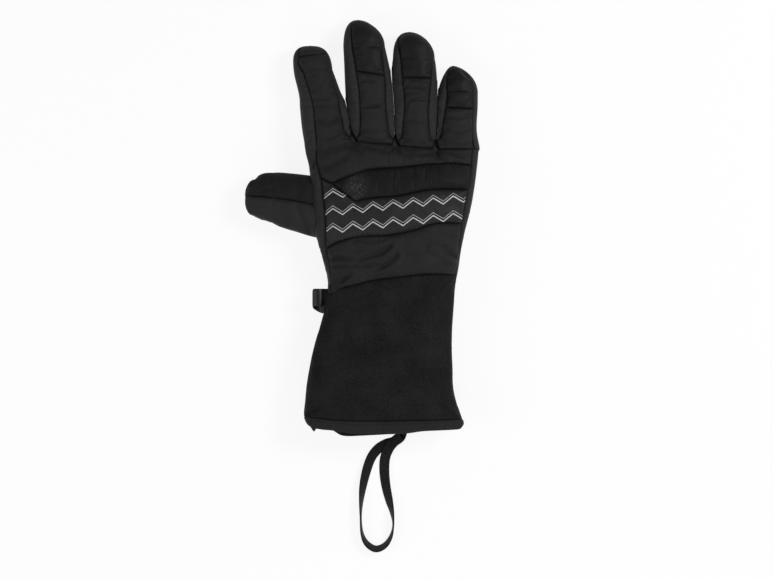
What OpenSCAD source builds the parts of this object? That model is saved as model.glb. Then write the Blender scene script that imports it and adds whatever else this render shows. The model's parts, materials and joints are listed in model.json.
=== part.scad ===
// Padded ski glove for the right hand, lying on its palm with the back of the hand up.
// X runs towards the little finger, Y towards the fingertips and Z up.
// The origin is the middle of the palm patch, on the face that the glove rests on.
// Each panel is a curved plate cut from one surface per digit, per hand and per cuff, so seams always meet.

/* [Fingers, in the order index, middle, ring, little] */
// Length from the knuckle fold to the fingertip
finger_len = [65.5, 83, 75, 52.5]; // [48:0.5:95]
// Width at the knuckle fold
finger_base_w = [33, 28.5, 27.5, 30]; // [24:0.5:36]
// Width half way along
finger_mid_w = [28.5, 31, 28.5, 26]; // [22:0.5:32]
// Width where the tip starts to round off
finger_tip_w = [26, 29.5, 27.5, 25]; // [20:0.5:30]
// Lean towards the thumb, degrees
finger_lean = [10.5, 5, 0.5, 0]; // [0:0.5:12]
// Distance from the knuckle fold to the middle fold
finger_mid_fold = [32, 40, 36, 22]; // [20:0.5:44]
// Length of the leather cap over the fingertip
finger_cap = [7, 37, 32.5, 28]; // [5:0.5:40]
// Where the seams of the back panel lie, degrees round the section from the little-finger side
finger_seam_right = [28, 42, 55, 40]; // [20:1:60]
// The same, for its other seam
finger_seam_left = [120, 114, 118, 126]; // [105:1:140]
// Height at the knuckle fold
finger_h = 25; // [20:0.5:28]
// Height where the tip starts to round off
finger_tip_h = 20; // [16:0.5:24]
// Length of the rounded tip
finger_round = 13; // [10:0.5:16]
// Gap between neighbours at the knuckle fold
finger_gap = 0.5; // [0.4:0.1:2]
// How far the fingers fold at the knuckle, degrees
knuckle_flex = 70; // [30:5:80]
// How far the fingers fold at the middle, degrees
middle_flex = 75; // [30:5:80]
// How far both folds open backwards, degrees
finger_back_bend = 8; // [0:1:12]

/* [Thumb] */
// Length from the thumb fold to the tip
thumb_len = 40.5; // [34:0.5:50]
// Width at the fold
thumb_base_w = 41; // [34:0.5:44]
// Width half way along
thumb_mid_w = 35; // [28:0.5:38]
// Width where the tip starts to round off
thumb_tip_w = 29; // [22:0.5:32]
// Height at the fold
thumb_h = 25; // [20:0.5:27]
// Height where the tip starts to round off
thumb_tip_h = 21; // [16:0.5:24]
// Length of the rounded tip
thumb_round = 14; // [10:0.5:16]
// Lean towards the fingertips, degrees
thumb_lean = 10; // [0:0.5:14]
// Distance of the thumb fold from the middle of the palm patch
thumb_reach = 60; // [57:0.5:66]
// Where the middle of the thumb's root lies along the palm
thumb_y = 6; // [0:0.5:10]
// How far the thumb folds towards the palm, degrees
thumb_flex = 55; // [20:5:60]

/* [Hand] */
// Length of the palm, from the wrist fold to the knuckle fold
palm_len = 97; // [88:1:110]
// Distance of the knuckle fold from the middle of the palm patch
knuckle_y = 50; // [45:1:56]
// Width over the heel of the hand
heel_w = 100; // [90:1:110]
// Height over the middle of the hand
hand_h = 37; // [32:0.5:42]
// Width at the wrist
wrist_w = 88; // [80:1:100]
// Height at the wrist
wrist_h = 34; // [28:0.5:38]
// How far the cuff swings up or down at the wrist, degrees
wrist_flex = 35; // [10:5:40]

/* [Cuff] */
// Length from the wrist fold to the hem's edge
cuff_len = 99; // [80:1:130]
// Width half way along the cuff
cuff_mid_w = 96; // [88:1:110]
// Width at the hem
hem_w = 109; // [98:1:120]
// Height at the hem
hem_h = 37; // [32:0.5:42]
// Height of the bound hem
hem_len = 8; // [5:0.5:14]
// How far the hem's middle lies towards the thumb side
hem_shift = 6.5; // [0:0.5:8]

/* [Layers] */
// Thickness of the shell panels
shell_t = 1.4; // [1:0.1:1.8]
// Thickness of the insulation
insulation_t = 2.2; // [1.5:0.1:3]
// Thickness of the lining
lining_t = 1.2; // [0.8:0.1:1.6]
// Clearance between layers
layer_gap = 0.5; // [0.4:0.05:0.7]
// Clearance between pieces that move
fold_gap = 0.4; // [0.3:0.05:0.6]

/* [Palm patch and wrist elastic] */
// Length of the palm patch
patch_len = 62; // [40:1:64]
// Width of the palm patch
patch_w = 58; // [36:1:60]
// Thickness of the palm patch
patch_t = 1.2; // [0.8:0.1:1.6]
// Corner radius of the palm patch
patch_round = 14; // [6:1:18]
// Width of the wrist elastic
elastic_w = 8; // [5:0.5:9]
// Thickness of the wrist elastic
elastic_t = 1.2; // [0.8:0.1:1.6]

/* [Clip loop] */
// Radius of the loop's eye
eye_r = 2.4; // [2:0.1:2.8]
// Thickness of its tape
clip_tape_t = 1.1; // [0.8:0.1:1.4]
// Width of its tape
clip_tape_w = 10; // [7:0.5:12]
// Distance of the eye from the fold of the tape
eye_reach = 4.4; // [4.2:0.1:6]
// Distance of the loop's middle from the wrist fold
clip_below_wrist = 11; // [10:0.5:16]
// How far the loop flaps up or down, degrees
clip_flap = 40; // [10:5:45]

/* [Leash] */
// Width of the leash's webbing
leash_w = 7; // [5:0.5:9]
// Thickness of the webbing
leash_t = 1.2; // [0.9:0.1:1.4]
// How far the leash swings up or down, degrees
leash_swing = 60; // [20:5:75]

/* [Hidden] */
FINGERS = ["index", "middle", "ring", "little"];

SHELL = "#2b2b2c";
LEATHER = "#1b1b1c";
NEOPRENE = "#212122";
FLEECE = "#161617";
WEBBING = "#141414";

// Exponent of the digits' rounded sections, and of the hand's and cuff's
digit_squareness = 2.6;
hand_squareness = 2.8;
// Squareness of a fingertip seen from above
tip_squareness = 2.4;
// Where a rounded tip has its rings, degrees round the dome
dome = [25, 45, 62, 76, 86];
// Columns across each kind of panel
back_cols = 4;
side_cols = 3;
hand_back_cols = 8;
hand_palm_cols = 8;
// Room that a barrel takes beyond half a digit's height, so that it crosses the surface cleanly
barrel_proud = 0.2;
// Longer than any piece
far = 300;

// Curves

function sum(list, upto) = upto <= 0 ? 0 : list[upto - 1] + sum(list, upto - 1);
function slope(table, i, k) =
    let (a = table[max(i - 1, 0)], b = table[min(i + 1, len(table) - 1)]) (b[k] - a[k]) / (b[0] - a[0]);
function hermite(t, a, b, slope_a, slope_b) =
    a * (1 + 2 * t) * (1 - t) ^ 2 + slope_a * t * (1 - t) ^ 2 + b * t ^ 2 * (3 - 2 * t) + slope_b * t ^ 2 * (t - 1);
// Column k of a table of stations, smoothly between them
function smooth(table, at, k) =
    let (
        last = len(table) - 2,
        i = max([0, for (j = [0 : last]) if (at >= table[j][0]) j]),
        span = table[i + 1][0] - table[i][0])
    hermite((at - table[i][0]) / span, table[i][k], table[i + 1][k], slope(table, i, k) * span, slope(table, i + 1, k) * span);
function power(x, n) = sign(x) * abs(x) ^ (2 / n);
function steps(from, to, n) = [for (i = [0 : n]) from + (to - from) * i / n];

// Plates and tubes between an outer and an inner grid of points

function net(rows, cols, first, wrap, inside) = [
    for (r = [0 : rows - 2]) for (c = [0 : wrap ? cols - 1 : cols - 2])
        let (n = (c + 1) % cols, a = first + r * cols + c, b = first + r * cols + n, d = a + cols, e = b + cols)
        each inside ? [[a, d, b], [b, d, e]] : [[a, b, d], [b, e, d]]];
function rim(p, q, closed) = [
    for (i = [0 : len(p) - (closed ? 1 : 2)]) let (n = (i + 1) % len(p)) each [[p[i], q[i], p[n]], [p[n], q[i], q[n]]]];

module plate(outer, inner) {
    rows = len(outer);
    cols = len(outer[0]);
    m = rows * cols;
    low = [for (c = [0 : cols - 1]) c];
    high = [for (c = low) (rows - 1) * cols + c];
    left = [for (r = [0 : rows - 1]) r * cols];
    right = [for (r = left) r + cols - 1];
    polyhedron(
        points = concat([for (r = outer) each r], [for (r = inner) each r]),
        faces = concat(net(rows, cols, 0, false, false), net(rows, cols, m, false, true),
            rim(low, low + [for (i = low) m], false), rim(high + [for (i = high) m], high, false),
            rim(left + [for (i = left) m], left, false), rim(right, right + [for (i = right) m], false)));
}

module tube(outer, inner, closed_tip) {
    rows = len(outer);
    cols = len(outer[0]);
    m = rows * cols;
    low = [for (c = [0 : cols - 1]) c];
    high = [for (c = low) (rows - 1) * cols + c];
    tip = [high, [for (c = [cols - 1 : -1 : 0]) m + high[c]]];
    polyhedron(
        points = concat([for (r = outer) each r], [for (r = inner) each r]),
        faces = concat(net(rows, cols, 0, true, false), net(rows, cols, m, true, true),
            rim(low, low + [for (i = low) m], true),
            closed_tip ? tip : rim(high + [for (i = high) m], high, true)));
}

// Folds. A fold is [place, turn about Z, barrel radius, half its length, flex, back bend].
// Its axis runs along its own X, what it moves lies ahead along its own Y, and flex swings that down.

module at_fold(fold) {
    translate(fold[0]) rotate([0, 0, fold[1]]) children();
}

module barrel(fold, extra) {
    rotate([0, 90, 0]) cylinder(r = fold[2] + extra, h = 2 * fold[3], center = true, $fn = 72);
}

// What the fold moves: all that lies ahead of the axis, and the round end that turns in the socket
module ahead_of(fold) {
    intersection() {
        children();
        at_fold(fold) union() {
            translate([-fold[3], 0, -far]) cube([2 * fold[3], far, 2 * far]);
            barrel(fold, 0);
        }
    }
}

// What stays: all that lies behind, with a socket and room for the swing
module behind(fold) {
    deep = fold[2] + fold_gap;
    difference() {
        children();
        at_fold(fold) {
            translate([-fold[3], 0, -deep]) cube([2 * fold[3], far, 2 * deep]);
            barrel(fold, fold_gap);
            rotate([-fold[4], 0, 0]) translate([-fold[3], 0, -deep]) cube([2 * fold[3], far, deep]);
            rotate([fold[5], 0, 0]) translate([-fold[3], 0, 0]) cube([2 * fold[3], far, deep]);
        }
    }
}

// Digits. Digits 0 to 3 are the fingers and 4 is the thumb. Each has its own frame, with its first fold at the origin.

THUMB = 4;
knuckle_w = sum(finger_base_w, 4) + 3 * finger_gap;
knuckle_z = finger_h / 2 + 1;
thumb_z = thumb_h / 2 + 1.5;
digit_len = concat(finger_len, [thumb_len]);
digit_lean = concat(finger_lean, [-thumb_lean]);
digit_round = [for (i = [0 : 4]) i == THUMB ? thumb_round : finger_round];
digit_w = [for (i = [0 : 4]) i == THUMB ? [thumb_base_w, thumb_mid_w, thumb_tip_w]
    : [finger_base_w[i], finger_mid_w[i], finger_tip_w[i]]];
digit_h = [for (i = [0 : 4]) i == THUMB ? [thumb_h, thumb_tip_h] : [finger_h, finger_tip_h]];

function finger_x(i) = -knuckle_w / 2 + sum(finger_base_w, i) + i * finger_gap + finger_base_w[i] / 2;
function digit_place(i) = i == THUMB ? [-thumb_reach, thumb_y, thumb_z] : [finger_x(i), knuckle_y, knuckle_z];
function digit_turn(i) = i == THUMB ? 90 : 0;
// Width and height at a distance along the digit
function digit_stations(i) = let (l = digit_len[i], w = digit_w[i], h = digit_h[i])
    [[0, w[0], h[0]], [l / 2, w[1], (h[0] + h[1]) / 2], [l - digit_round[i], w[2], h[1]], [l, w[2], h[1]]];
function digit_size(i, y, k) = smooth(digit_stations(i), max(y, 0), k);
// A row's place: up to 0 it is a distance before the rounded tip, and above 0 an angle round the tip
function row_y(i, row, inset) =
    digit_len[i] - digit_round[i] + (row <= 0 ? row : (digit_round[i] - inset) * sin(row));
function digit_point(i, row, phi, inset) =
    let (
        y = row_y(i, row, inset),
        flat = row <= 0 ? 1 : (1 - sin(row) ^ tip_squareness) ^ (1 / tip_squareness),
        thin = row <= 0 ? 1 : cos(row))
    [(digit_size(i, y, 1) / 2 - inset) * flat * power(cos(phi), digit_squareness) - max(y, 0) * tan(digit_lean[i]),
     y,
     (digit_size(i, y, 2) / 2 - inset) * thin * power(sin(phi), digit_squareness) - (digit_size(i, 0, 2) - digit_size(i, y, 2)) / 2];
function digit_grid(i, rows, phis, inset) = [for (r = rows) [for (p = phis) digit_point(i, r, p, inset)]];

module digit_panel(i, rows, phis) {
    plate(digit_grid(i, rows, phis, 0), digit_grid(i, rows, phis, shell_t));
}

module digit_lining(i, rows, phis, closed_tip) {
    outer = shell_t + layer_gap;
    tube(digit_grid(i, rows, phis, outer), digit_grid(i, rows, phis, outer + lining_t), closed_tip);
}

module place_digit(i) {
    translate(digit_place(i)) rotate([0, 0, digit_turn(i)]) children();
}

// Fingers

finger_barrel = finger_h / 2 + barrel_proud;
palm_seam_left = 215;
palm_seam_right = 325;

function back_phis(i) = steps(finger_seam_right[i], finger_seam_left[i], back_cols);
function left_phis(i) = steps(finger_seam_left[i], palm_seam_left, side_cols);
function palm_phis(i) = steps(palm_seam_left, palm_seam_right, back_cols);
function right_phis(i) = steps(palm_seam_right - 360, finger_seam_right[i], side_cols);
function round_phis(i) = concat(
    [for (k = [0 : back_cols - 1]) back_phis(i)[k]], [for (k = [0 : side_cols - 1]) left_phis(i)[k]],
    [for (k = [0 : back_cols - 1]) palm_phis(i)[k]], [for (k = [0 : side_cols - 1]) right_phis(i)[k]]);

// The two folds of a finger, in its own frame
function base_fold(i) = [[0, 0, 0], 0, finger_barrel, finger_base_w[i], knuckle_flex, finger_back_bend];
function middle_fold(i) =
    let (y = finger_mid_fold[i], h = digit_size(i, y, 2))
    [[-y * tan(digit_lean[i]), y, (h - finger_h) / 2], 0, h / 2 + barrel_proud, finger_base_w[i], middle_flex, finger_back_bend];

function row_at(i, y) = y - (digit_len[i] - digit_round[i]);
function base_rows(i) = steps(row_at(i, -finger_barrel), row_at(i, finger_mid_fold[i]), 4);
function tip_start(i) = row_at(i, finger_mid_fold[i] - finger_barrel);
// Where the cap's seam crosses the back: in the straight stretch, or round the tip
function cap_row(i) =
    let (left = digit_round[i] - finger_cap[i]) left <= 0 ? left : asin(left / digit_round[i]);
function tip_rows(i) = concat(steps(tip_start(i), 0, 3), dome);
function tip_back_rows(i) = concat(
    [for (r = tip_rows(i)) if (r < cap_row(i) - 0.5) r], [cap_row(i)]);
function tip_cap_rows(i) = concat([cap_row(i)], [for (r = tip_rows(i)) if (r > cap_row(i) + 0.5) r]);

module finger_base(i) {
    place_digit(i) behind(middle_fold(i)) ahead_of(base_fold(i)) children();
}

module finger_tip(i) {
    place_digit(i) ahead_of(middle_fold(i)) children();
}

module base_back(i) { color(SHELL) finger_base(i) digit_panel(i, base_rows(i), back_phis(i)); }
module base_palm(i) { color(LEATHER) finger_base(i) digit_panel(i, base_rows(i), palm_phis(i)); }
module base_sides(i) {
    color(SHELL) {
        finger_base(i) digit_panel(i, base_rows(i), left_phis(i));
        finger_base(i) digit_panel(i, base_rows(i), right_phis(i));
    }
}
module base_lining(i) { color(FLEECE) finger_base(i) digit_lining(i, base_rows(i), round_phis(i), false); }
module tip_back(i) { color(SHELL) finger_tip(i) digit_panel(i, tip_back_rows(i), back_phis(i)); }
module tip_cap(i) { color(LEATHER) finger_tip(i) digit_panel(i, tip_cap_rows(i), back_phis(i)); }
module tip_palm(i) { color(LEATHER) finger_tip(i) digit_panel(i, tip_rows(i), palm_phis(i)); }
module tip_sides(i) {
    color(SHELL) {
        finger_tip(i) digit_panel(i, tip_rows(i), left_phis(i));
        finger_tip(i) digit_panel(i, tip_rows(i), right_phis(i));
    }
}
module tip_lining(i) { color(FLEECE) finger_tip(i) digit_lining(i, tip_rows(i), round_phis(i), true); }

// Thumb

thumb_seam = 100;
thumb_under_seam = 300;
thumb_cols = 7;
thumb_fold = [digit_place(THUMB), digit_turn(THUMB), thumb_h / 2 + barrel_proud, thumb_base_w / 2 + fold_gap, thumb_flex, 0];
thumb_rows = concat(steps(row_at(THUMB, -thumb_h / 2 - barrel_proud), 0, 4), dome);
inner_phis = steps(thumb_under_seam - 360, thumb_seam, thumb_cols);
outer_phis = steps(thumb_seam, thumb_under_seam, thumb_cols);
thumb_phis = concat([for (k = [0 : thumb_cols - 1]) inner_phis[k]], [for (k = [0 : thumb_cols - 1]) outer_phis[k]]);

module thumb_part() { ahead_of(thumb_fold) place_digit(THUMB) children(); }
module thumb_outer_panel() { color(SHELL) thumb_part() digit_panel(THUMB, thumb_rows, outer_phis); }
module thumb_inner_panel() { color(LEATHER) thumb_part() digit_panel(THUMB, thumb_rows, inner_phis); }
module thumb_lining() { color(FLEECE) thumb_part() digit_lining(THUMB, thumb_rows, thumb_phis, true); }

// Hand and cuff. Stations along Y hold the middle, the half width, the bottom and the top of the section.

wrist_y = knuckle_y - palm_len;
hem_y = wrist_y - cuff_len;
wrist_shift = 1.2;
heel_shift = 2;
palm_sag = -1.5;
hand_stations = [
    [hem_y, -hem_shift, hem_w / 2, 0, hem_h],
    [wrist_y - cuff_len / 2, -hem_shift - 0.8, cuff_mid_w / 2, 0, (wrist_h + hem_h) / 2],
    [wrist_y, -wrist_shift, wrist_w / 2, 0, wrist_h],
    [wrist_y + palm_len * 0.3, -heel_shift, heel_w / 2, palm_sag, hand_h],
    [wrist_y + palm_len * 0.6, -0.5, (heel_w + knuckle_w) / 4, palm_sag, hand_h],
    [knuckle_y, 0, knuckle_w / 2, knuckle_z - finger_h / 2, knuckle_z + finger_h / 2]];

// Seams round the section: the back panel's two, then the palm's two
back_seam_right = 26;
back_seam_left = 148;
// Degrees between a side strip and the back panels, whose edges have other corners
strip_clearance = 0.15;
hand_palm_left = 206;
hand_palm_right = 332;

function hand_point(y, phi, inset) =
    let (bottom = smooth(hand_stations, y, 3), top = smooth(hand_stations, y, 4))
    [smooth(hand_stations, y, 1) + (smooth(hand_stations, y, 2) - inset) * power(cos(phi), hand_squareness),
     y,
     max(patch_t + inset, (top + bottom) / 2 + ((top - bottom) / 2 - inset) * power(sin(phi), hand_squareness))];
function hand_grid(ys, phis, inset) = [for (y = ys) [for (p = phis) hand_point(y, p, inset)]];

hand_back_phis = steps(back_seam_right, back_seam_left, hand_back_cols);
hand_left_phis = steps(back_seam_left + strip_clearance, hand_palm_left, side_cols);
hand_palm_phis = steps(hand_palm_left, hand_palm_right, hand_palm_cols);
hand_right_phis = steps(hand_palm_right - 360, back_seam_right - strip_clearance, side_cols);
hand_round_phis = concat(
    [for (k = [0 : hand_back_cols - 1]) hand_back_phis[k]], [for (k = [0 : side_cols - 1]) hand_left_phis[k]],
    [for (k = [0 : hand_palm_cols - 1]) hand_palm_phis[k]], [for (k = [0 : side_cols - 1]) hand_right_phis[k]]);

knuckle_fold = [[0, knuckle_y, knuckle_z], 0, finger_barrel, knuckle_w, knuckle_flex, finger_back_bend];
wrist_fold = [[0, wrist_y, wrist_h / 2], 180, wrist_h / 2 + barrel_proud, wrist_w, wrist_flex, wrist_flex];
hand_rows = steps(wrist_y, knuckle_y, 11);

module hand_part() { behind(thumb_fold) behind(wrist_fold) behind(knuckle_fold) children(); }

// Seams across the back, each as [share of the way from the little-finger seam to the index seam, distance before the
// knuckle fold]
knuckle_seam = [[0, 16], [0.2, 15], [0.5, 17], [0.8, 22], [1, 28]];
band_seam = [[0, 33], [0.3, 34], [0.7, 39], [0.82, 41], [1, 29]];
print_seam = [[0, 57], [0.3, 59], [0.55, 64], [0.8, 70], [1, 74]];
seam_gap = 0.3;

// A panel of the back between two seams, which are lists as above
module back_panel(front, rear) {
    phis = hand_back_phis;
    n = len(phis) - 1;
    rows = 4;
    lines = [for (r = [0 : rows]) [for (c = [0 : n])
        let (a = knuckle_y - smooth(rear, c / n, 1) + seam_gap / 2, b = knuckle_y - smooth(front, c / n, 1) - seam_gap / 2)
        [a + (b - a) * r / rows, phis[c]]]];
    hand_part() plate(
        [for (l = lines) [for (p = l) hand_point(p[0], p[1], 0)]],
        [for (l = lines) [for (p = l) hand_point(p[0], p[1], shell_t)]]);
}

module hand_panel(phis) { hand_part() plate(hand_grid(hand_rows, phis, 0), hand_grid(hand_rows, phis, shell_t)); }

module knuckle_panel() { color(SHELL) back_panel([[0, 0], [1, 0]], knuckle_seam); }
module knuckle_band() { color(LEATHER) back_panel(knuckle_seam, band_seam); }
module print_panel() { color(SHELL) back_panel(band_seam, print_seam); }
module wrist_panel() { color(SHELL) back_panel(print_seam, [[0, palm_len], [1, palm_len]]); }
module index_side_strip() { color(SHELL) hand_panel(hand_left_phis); }
module little_side_strip() { color(SHELL) hand_panel(hand_right_phis); }
module palm_panel() { color(LEATHER) hand_panel(hand_palm_phis); }

module palm_patch() {
    color(LEATHER) linear_extrude(patch_t) {
        square([patch_w, patch_len - 2 * patch_round], center = true);
        square([patch_w - 2 * patch_round, patch_len], center = true);
        for (x = [-1, 1]) for (y = [-1, 1])
            translate([x * (patch_w / 2 - patch_round), y * (patch_len / 2 - patch_round)]) circle(r = patch_round, $fn = 64);
    }
}

// Insulation lies between the shell and the lining, above the wrist elastic
insulation_at = shell_t + layer_gap;
lining_at = insulation_at + insulation_t + layer_gap;
elastic_y = wrist_y + wrist_h / 2 - elastic_w + 2;

module hand_insulation() {
    rows = steps(elastic_y + elastic_w + layer_gap, knuckle_y, 8);
    color(FLEECE) hand_part() tube(
        hand_grid(rows, hand_round_phis, insulation_at), hand_grid(rows, hand_round_phis, insulation_at + insulation_t), false);
}

module wrist_elastic() {
    rows = steps(elastic_y, elastic_y + elastic_w, 2);
    color(WEBBING) hand_part() plate(
        hand_grid(rows, hand_palm_phis, insulation_at), hand_grid(rows, hand_palm_phis, insulation_at + elastic_t));
}

module hand_lining() {
    color(FLEECE) hand_part() tube(
        hand_grid(hand_rows, hand_round_phis, lining_at), hand_grid(hand_rows, hand_round_phis, lining_at + lining_t), false);
}

// Cuff

cuff_rows = steps(hem_y + hem_len + seam_gap, wrist_y + wrist_h / 2, 8);
cuff_lining_rows = steps(hem_y + hem_len / 2, wrist_y + wrist_h / 2, 8);
cuff_seam_right = 10;
cuff_seam_left = 170;
hem_proud = 0.4;
hem_t = 3;

module cuff_panel(phis) { ahead_of(wrist_fold) plate(hand_grid(cuff_rows, phis, 0), hand_grid(cuff_rows, phis, shell_t)); }
module cuff_back() { color(NEOPRENE) cuff_panel(steps(cuff_seam_right, cuff_seam_left, hand_back_cols)); }
module cuff_palm() { color(NEOPRENE) cuff_panel(steps(cuff_seam_left, cuff_seam_right + 360, hand_palm_cols)); }
module cuff_lining() {
    inside = hem_t + layer_gap;
    color(FLEECE) ahead_of(wrist_fold) tube(
        hand_grid(cuff_lining_rows, hand_round_phis, inside), hand_grid(cuff_lining_rows, hand_round_phis, inside + lining_t), false);
}
module hem_binding() {
    rows = steps(hem_y, hem_y + hem_len, 2);
    color(SHELL) tube(hand_grid(rows, hand_round_phis, -hem_proud), hand_grid(rows, hand_round_phis, hem_t), false);
}

// Clip loop: a folded tape whose tail is sewn into the cuff's thumb-side seam

clip_y = wrist_y - clip_below_wrist;
function cuff_edge(y) = smooth(hand_stations, y, 1) - smooth(hand_stations, y, 2);
clip_slant = atan((cuff_edge(clip_y - clip_tape_w / 2) - cuff_edge(clip_y + clip_tape_w / 2)) / clip_tape_w);
clip_place = [cuff_edge(clip_y) - clip_tape_t - fold_gap, clip_y, wrist_h / 2];

module clip_tape() { linear_extrude(clip_tape_w, center = true) children(); }

module clip_loop() {
    outer = eye_r + clip_tape_t;
    // The tape's tail runs just inside the line that touches both rounds
    lean = acos((outer - clip_tape_t) / eye_reach);
    touch = 0.97;
    wide = touch * outer * [cos(lean), sin(lean)] - [eye_reach, 0];
    narrow = touch * clip_tape_t * [cos(lean), sin(lean)];
    color(LEATHER) translate(clip_place) rotate([90, 0, clip_slant]) difference() {
        union() {
            translate([-eye_reach, 0, 0]) cylinder(r = outer, h = clip_tape_w, center = true, $fn = 64);
            clip_tape() polygon([wide, narrow, [narrow[0], -narrow[1]], [wide[0], -wide[1]]]);
            cylinder(r = clip_tape_t, h = clip_tape_w, center = true, $fn = 48);
        }
        translate([-eye_reach, 0, 0]) cylinder(r = eye_r, h = 2 * clip_tape_w, center = true, $fn = 64);
    }
}

// Leash: one webbing strap from the hem, round the wrist's loop and back to its own neck.
// The route's points are [x, distance past the hem, roll of the webbing, lift of the middle of its lower edge].
// Roll 0 lies flat and 90 stands on edge.

leash_route = [
    [6.2, 0.5, 0, 2.6], [6.0, 3, 0, 1.8], [4.6, 6, 0, 0.9], [0.2, 8.9, 0, 0.2], [-5, 10.5, 4, 0], [-10.5, 14, 12, 0], [-15, 20, 22, 0],
    [-18.2, 29, 30, 0], [-20.6, 40, 48, 0], [-21.8, 51, 72, 0], [-22, 61, 86, 0], [-21.2, 71, 78, 0], [-18.2, 78, 62, 0],
    [-12.2, 82, 55, 0], [-6, 80, 60, 0], [-1.6, 74, 74, 0], [0.2, 66, 88, 0], [-0.6, 57.5, 70, 0], [-2.6, 49, 45, 0],
    [-4.8, 39, 28, 0], [-5.9, 29, 12, 0], [-5.4, 20, 4, 0.6], [-2.6, 13, 0, 1.9], [1.6, 8, 0, 2.4], [5.4, 5.2, 0, 3.4]];
leash_steps = 2;
leash_last = (len(leash_route) - 1) * leash_steps;
leash_table = [for (i = [0 : len(leash_route) - 1]) concat([i], leash_route[i])];

function leash_middle(i) =
    let (s = i / leash_steps, roll = smooth(leash_table, s, 3))
    [smooth(leash_table, s, 1), hem_y - smooth(leash_table, s, 2),
     smooth(leash_table, s, 4) + leash_w / 2 * sin(roll) + leash_t / 2 * cos(roll)];
function leash_ring(i) =
    let (
        d = leash_middle(min(i + 1, leash_last)) - leash_middle(max(i - 1, 0)),
        across = [d[1], -d[0], 0] / norm([d[0], d[1]]),
        roll = smooth(leash_table, i / leash_steps, 3),
        wide = leash_w / 2 * (across * cos(roll) + [0, 0, sin(roll)]),
        thick = leash_t / 2 * ([0, 0, cos(roll)] - across * sin(roll)))
    [for (k = [[1, 1], [1, -1], [-1, -1], [-1, 1]]) leash_middle(i) + k[0] * wide + k[1] * thick];

module leash_strap() {
    rings = leash_last + 1;
    color(WEBBING) polyhedron(
        points = [for (i = [0 : leash_last]) each leash_ring(i)],
        faces = concat([[0, 1, 2, 3], [for (k = [3 : -1 : 0]) leash_last * 4 + k]], net(rings, 4, 0, true, true)));
}

knuckle_panel();
knuckle_band();
print_panel();
wrist_panel();
index_side_strip();
little_side_strip();
palm_panel();
palm_patch();
hand_insulation();
hand_lining();
wrist_elastic();
cuff_back();
cuff_palm();
cuff_lining();
hem_binding();
clip_loop();
leash_strap();
thumb_outer_panel();
thumb_inner_panel();
thumb_lining();
for (i = [0 : 3]) {
    base_back(i);
    base_palm(i);
    base_sides(i);
    base_lining(i);
    tip_back(i);
    tip_cap(i);
    tip_palm(i);
    tip_sides(i);
    tip_lining(i);
}
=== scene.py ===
import json
import math

import bpy
import numpy as np
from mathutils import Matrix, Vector


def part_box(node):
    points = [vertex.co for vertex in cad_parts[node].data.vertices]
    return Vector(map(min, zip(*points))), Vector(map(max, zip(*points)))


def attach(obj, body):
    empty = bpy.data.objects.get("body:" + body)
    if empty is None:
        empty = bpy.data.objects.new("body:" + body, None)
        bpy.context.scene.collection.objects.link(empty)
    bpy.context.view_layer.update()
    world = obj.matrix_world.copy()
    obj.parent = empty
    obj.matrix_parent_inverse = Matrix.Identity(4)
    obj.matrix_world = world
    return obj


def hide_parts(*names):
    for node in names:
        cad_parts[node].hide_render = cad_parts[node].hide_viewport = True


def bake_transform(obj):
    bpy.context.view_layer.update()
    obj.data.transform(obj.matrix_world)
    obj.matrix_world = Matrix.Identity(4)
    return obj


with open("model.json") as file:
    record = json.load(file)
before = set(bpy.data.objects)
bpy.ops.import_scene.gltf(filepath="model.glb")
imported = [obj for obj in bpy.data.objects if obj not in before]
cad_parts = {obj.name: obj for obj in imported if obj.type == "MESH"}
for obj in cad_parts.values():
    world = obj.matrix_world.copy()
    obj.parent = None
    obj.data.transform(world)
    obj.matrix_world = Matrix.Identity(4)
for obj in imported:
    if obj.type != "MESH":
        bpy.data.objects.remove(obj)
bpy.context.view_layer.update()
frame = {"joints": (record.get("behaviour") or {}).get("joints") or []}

MM = 0.001
joint_at = {j["name"]: np.array(j["pos_m"]) / MM for j in frame["joints"]}


# Camera: straight above, long lens, the photograph's frame of 525 mm by 394 mm
frame_width = 0.525
camera_height = 3.0
glove_level = 0.02
camera_data = bpy.data.cameras.new("camera")
camera_data.sensor_width = 36
camera_data.lens = 36 * (camera_height - glove_level) / frame_width
camera_data.clip_start = 0.01
camera = bpy.data.objects.new("camera", camera_data)
camera.location = (-0.00476, -0.05066, camera_height)
bpy.context.scene.collection.objects.link(camera)
bpy.context.scene.camera = camera
bpy.context.scene.view_settings.view_transform = "Standard"


# Materials
# Colour that seams darken towards: painted shade in the seam grooves
seam_shade_colour = (0.0015, 0.0015, 0.0016, 1)


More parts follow.
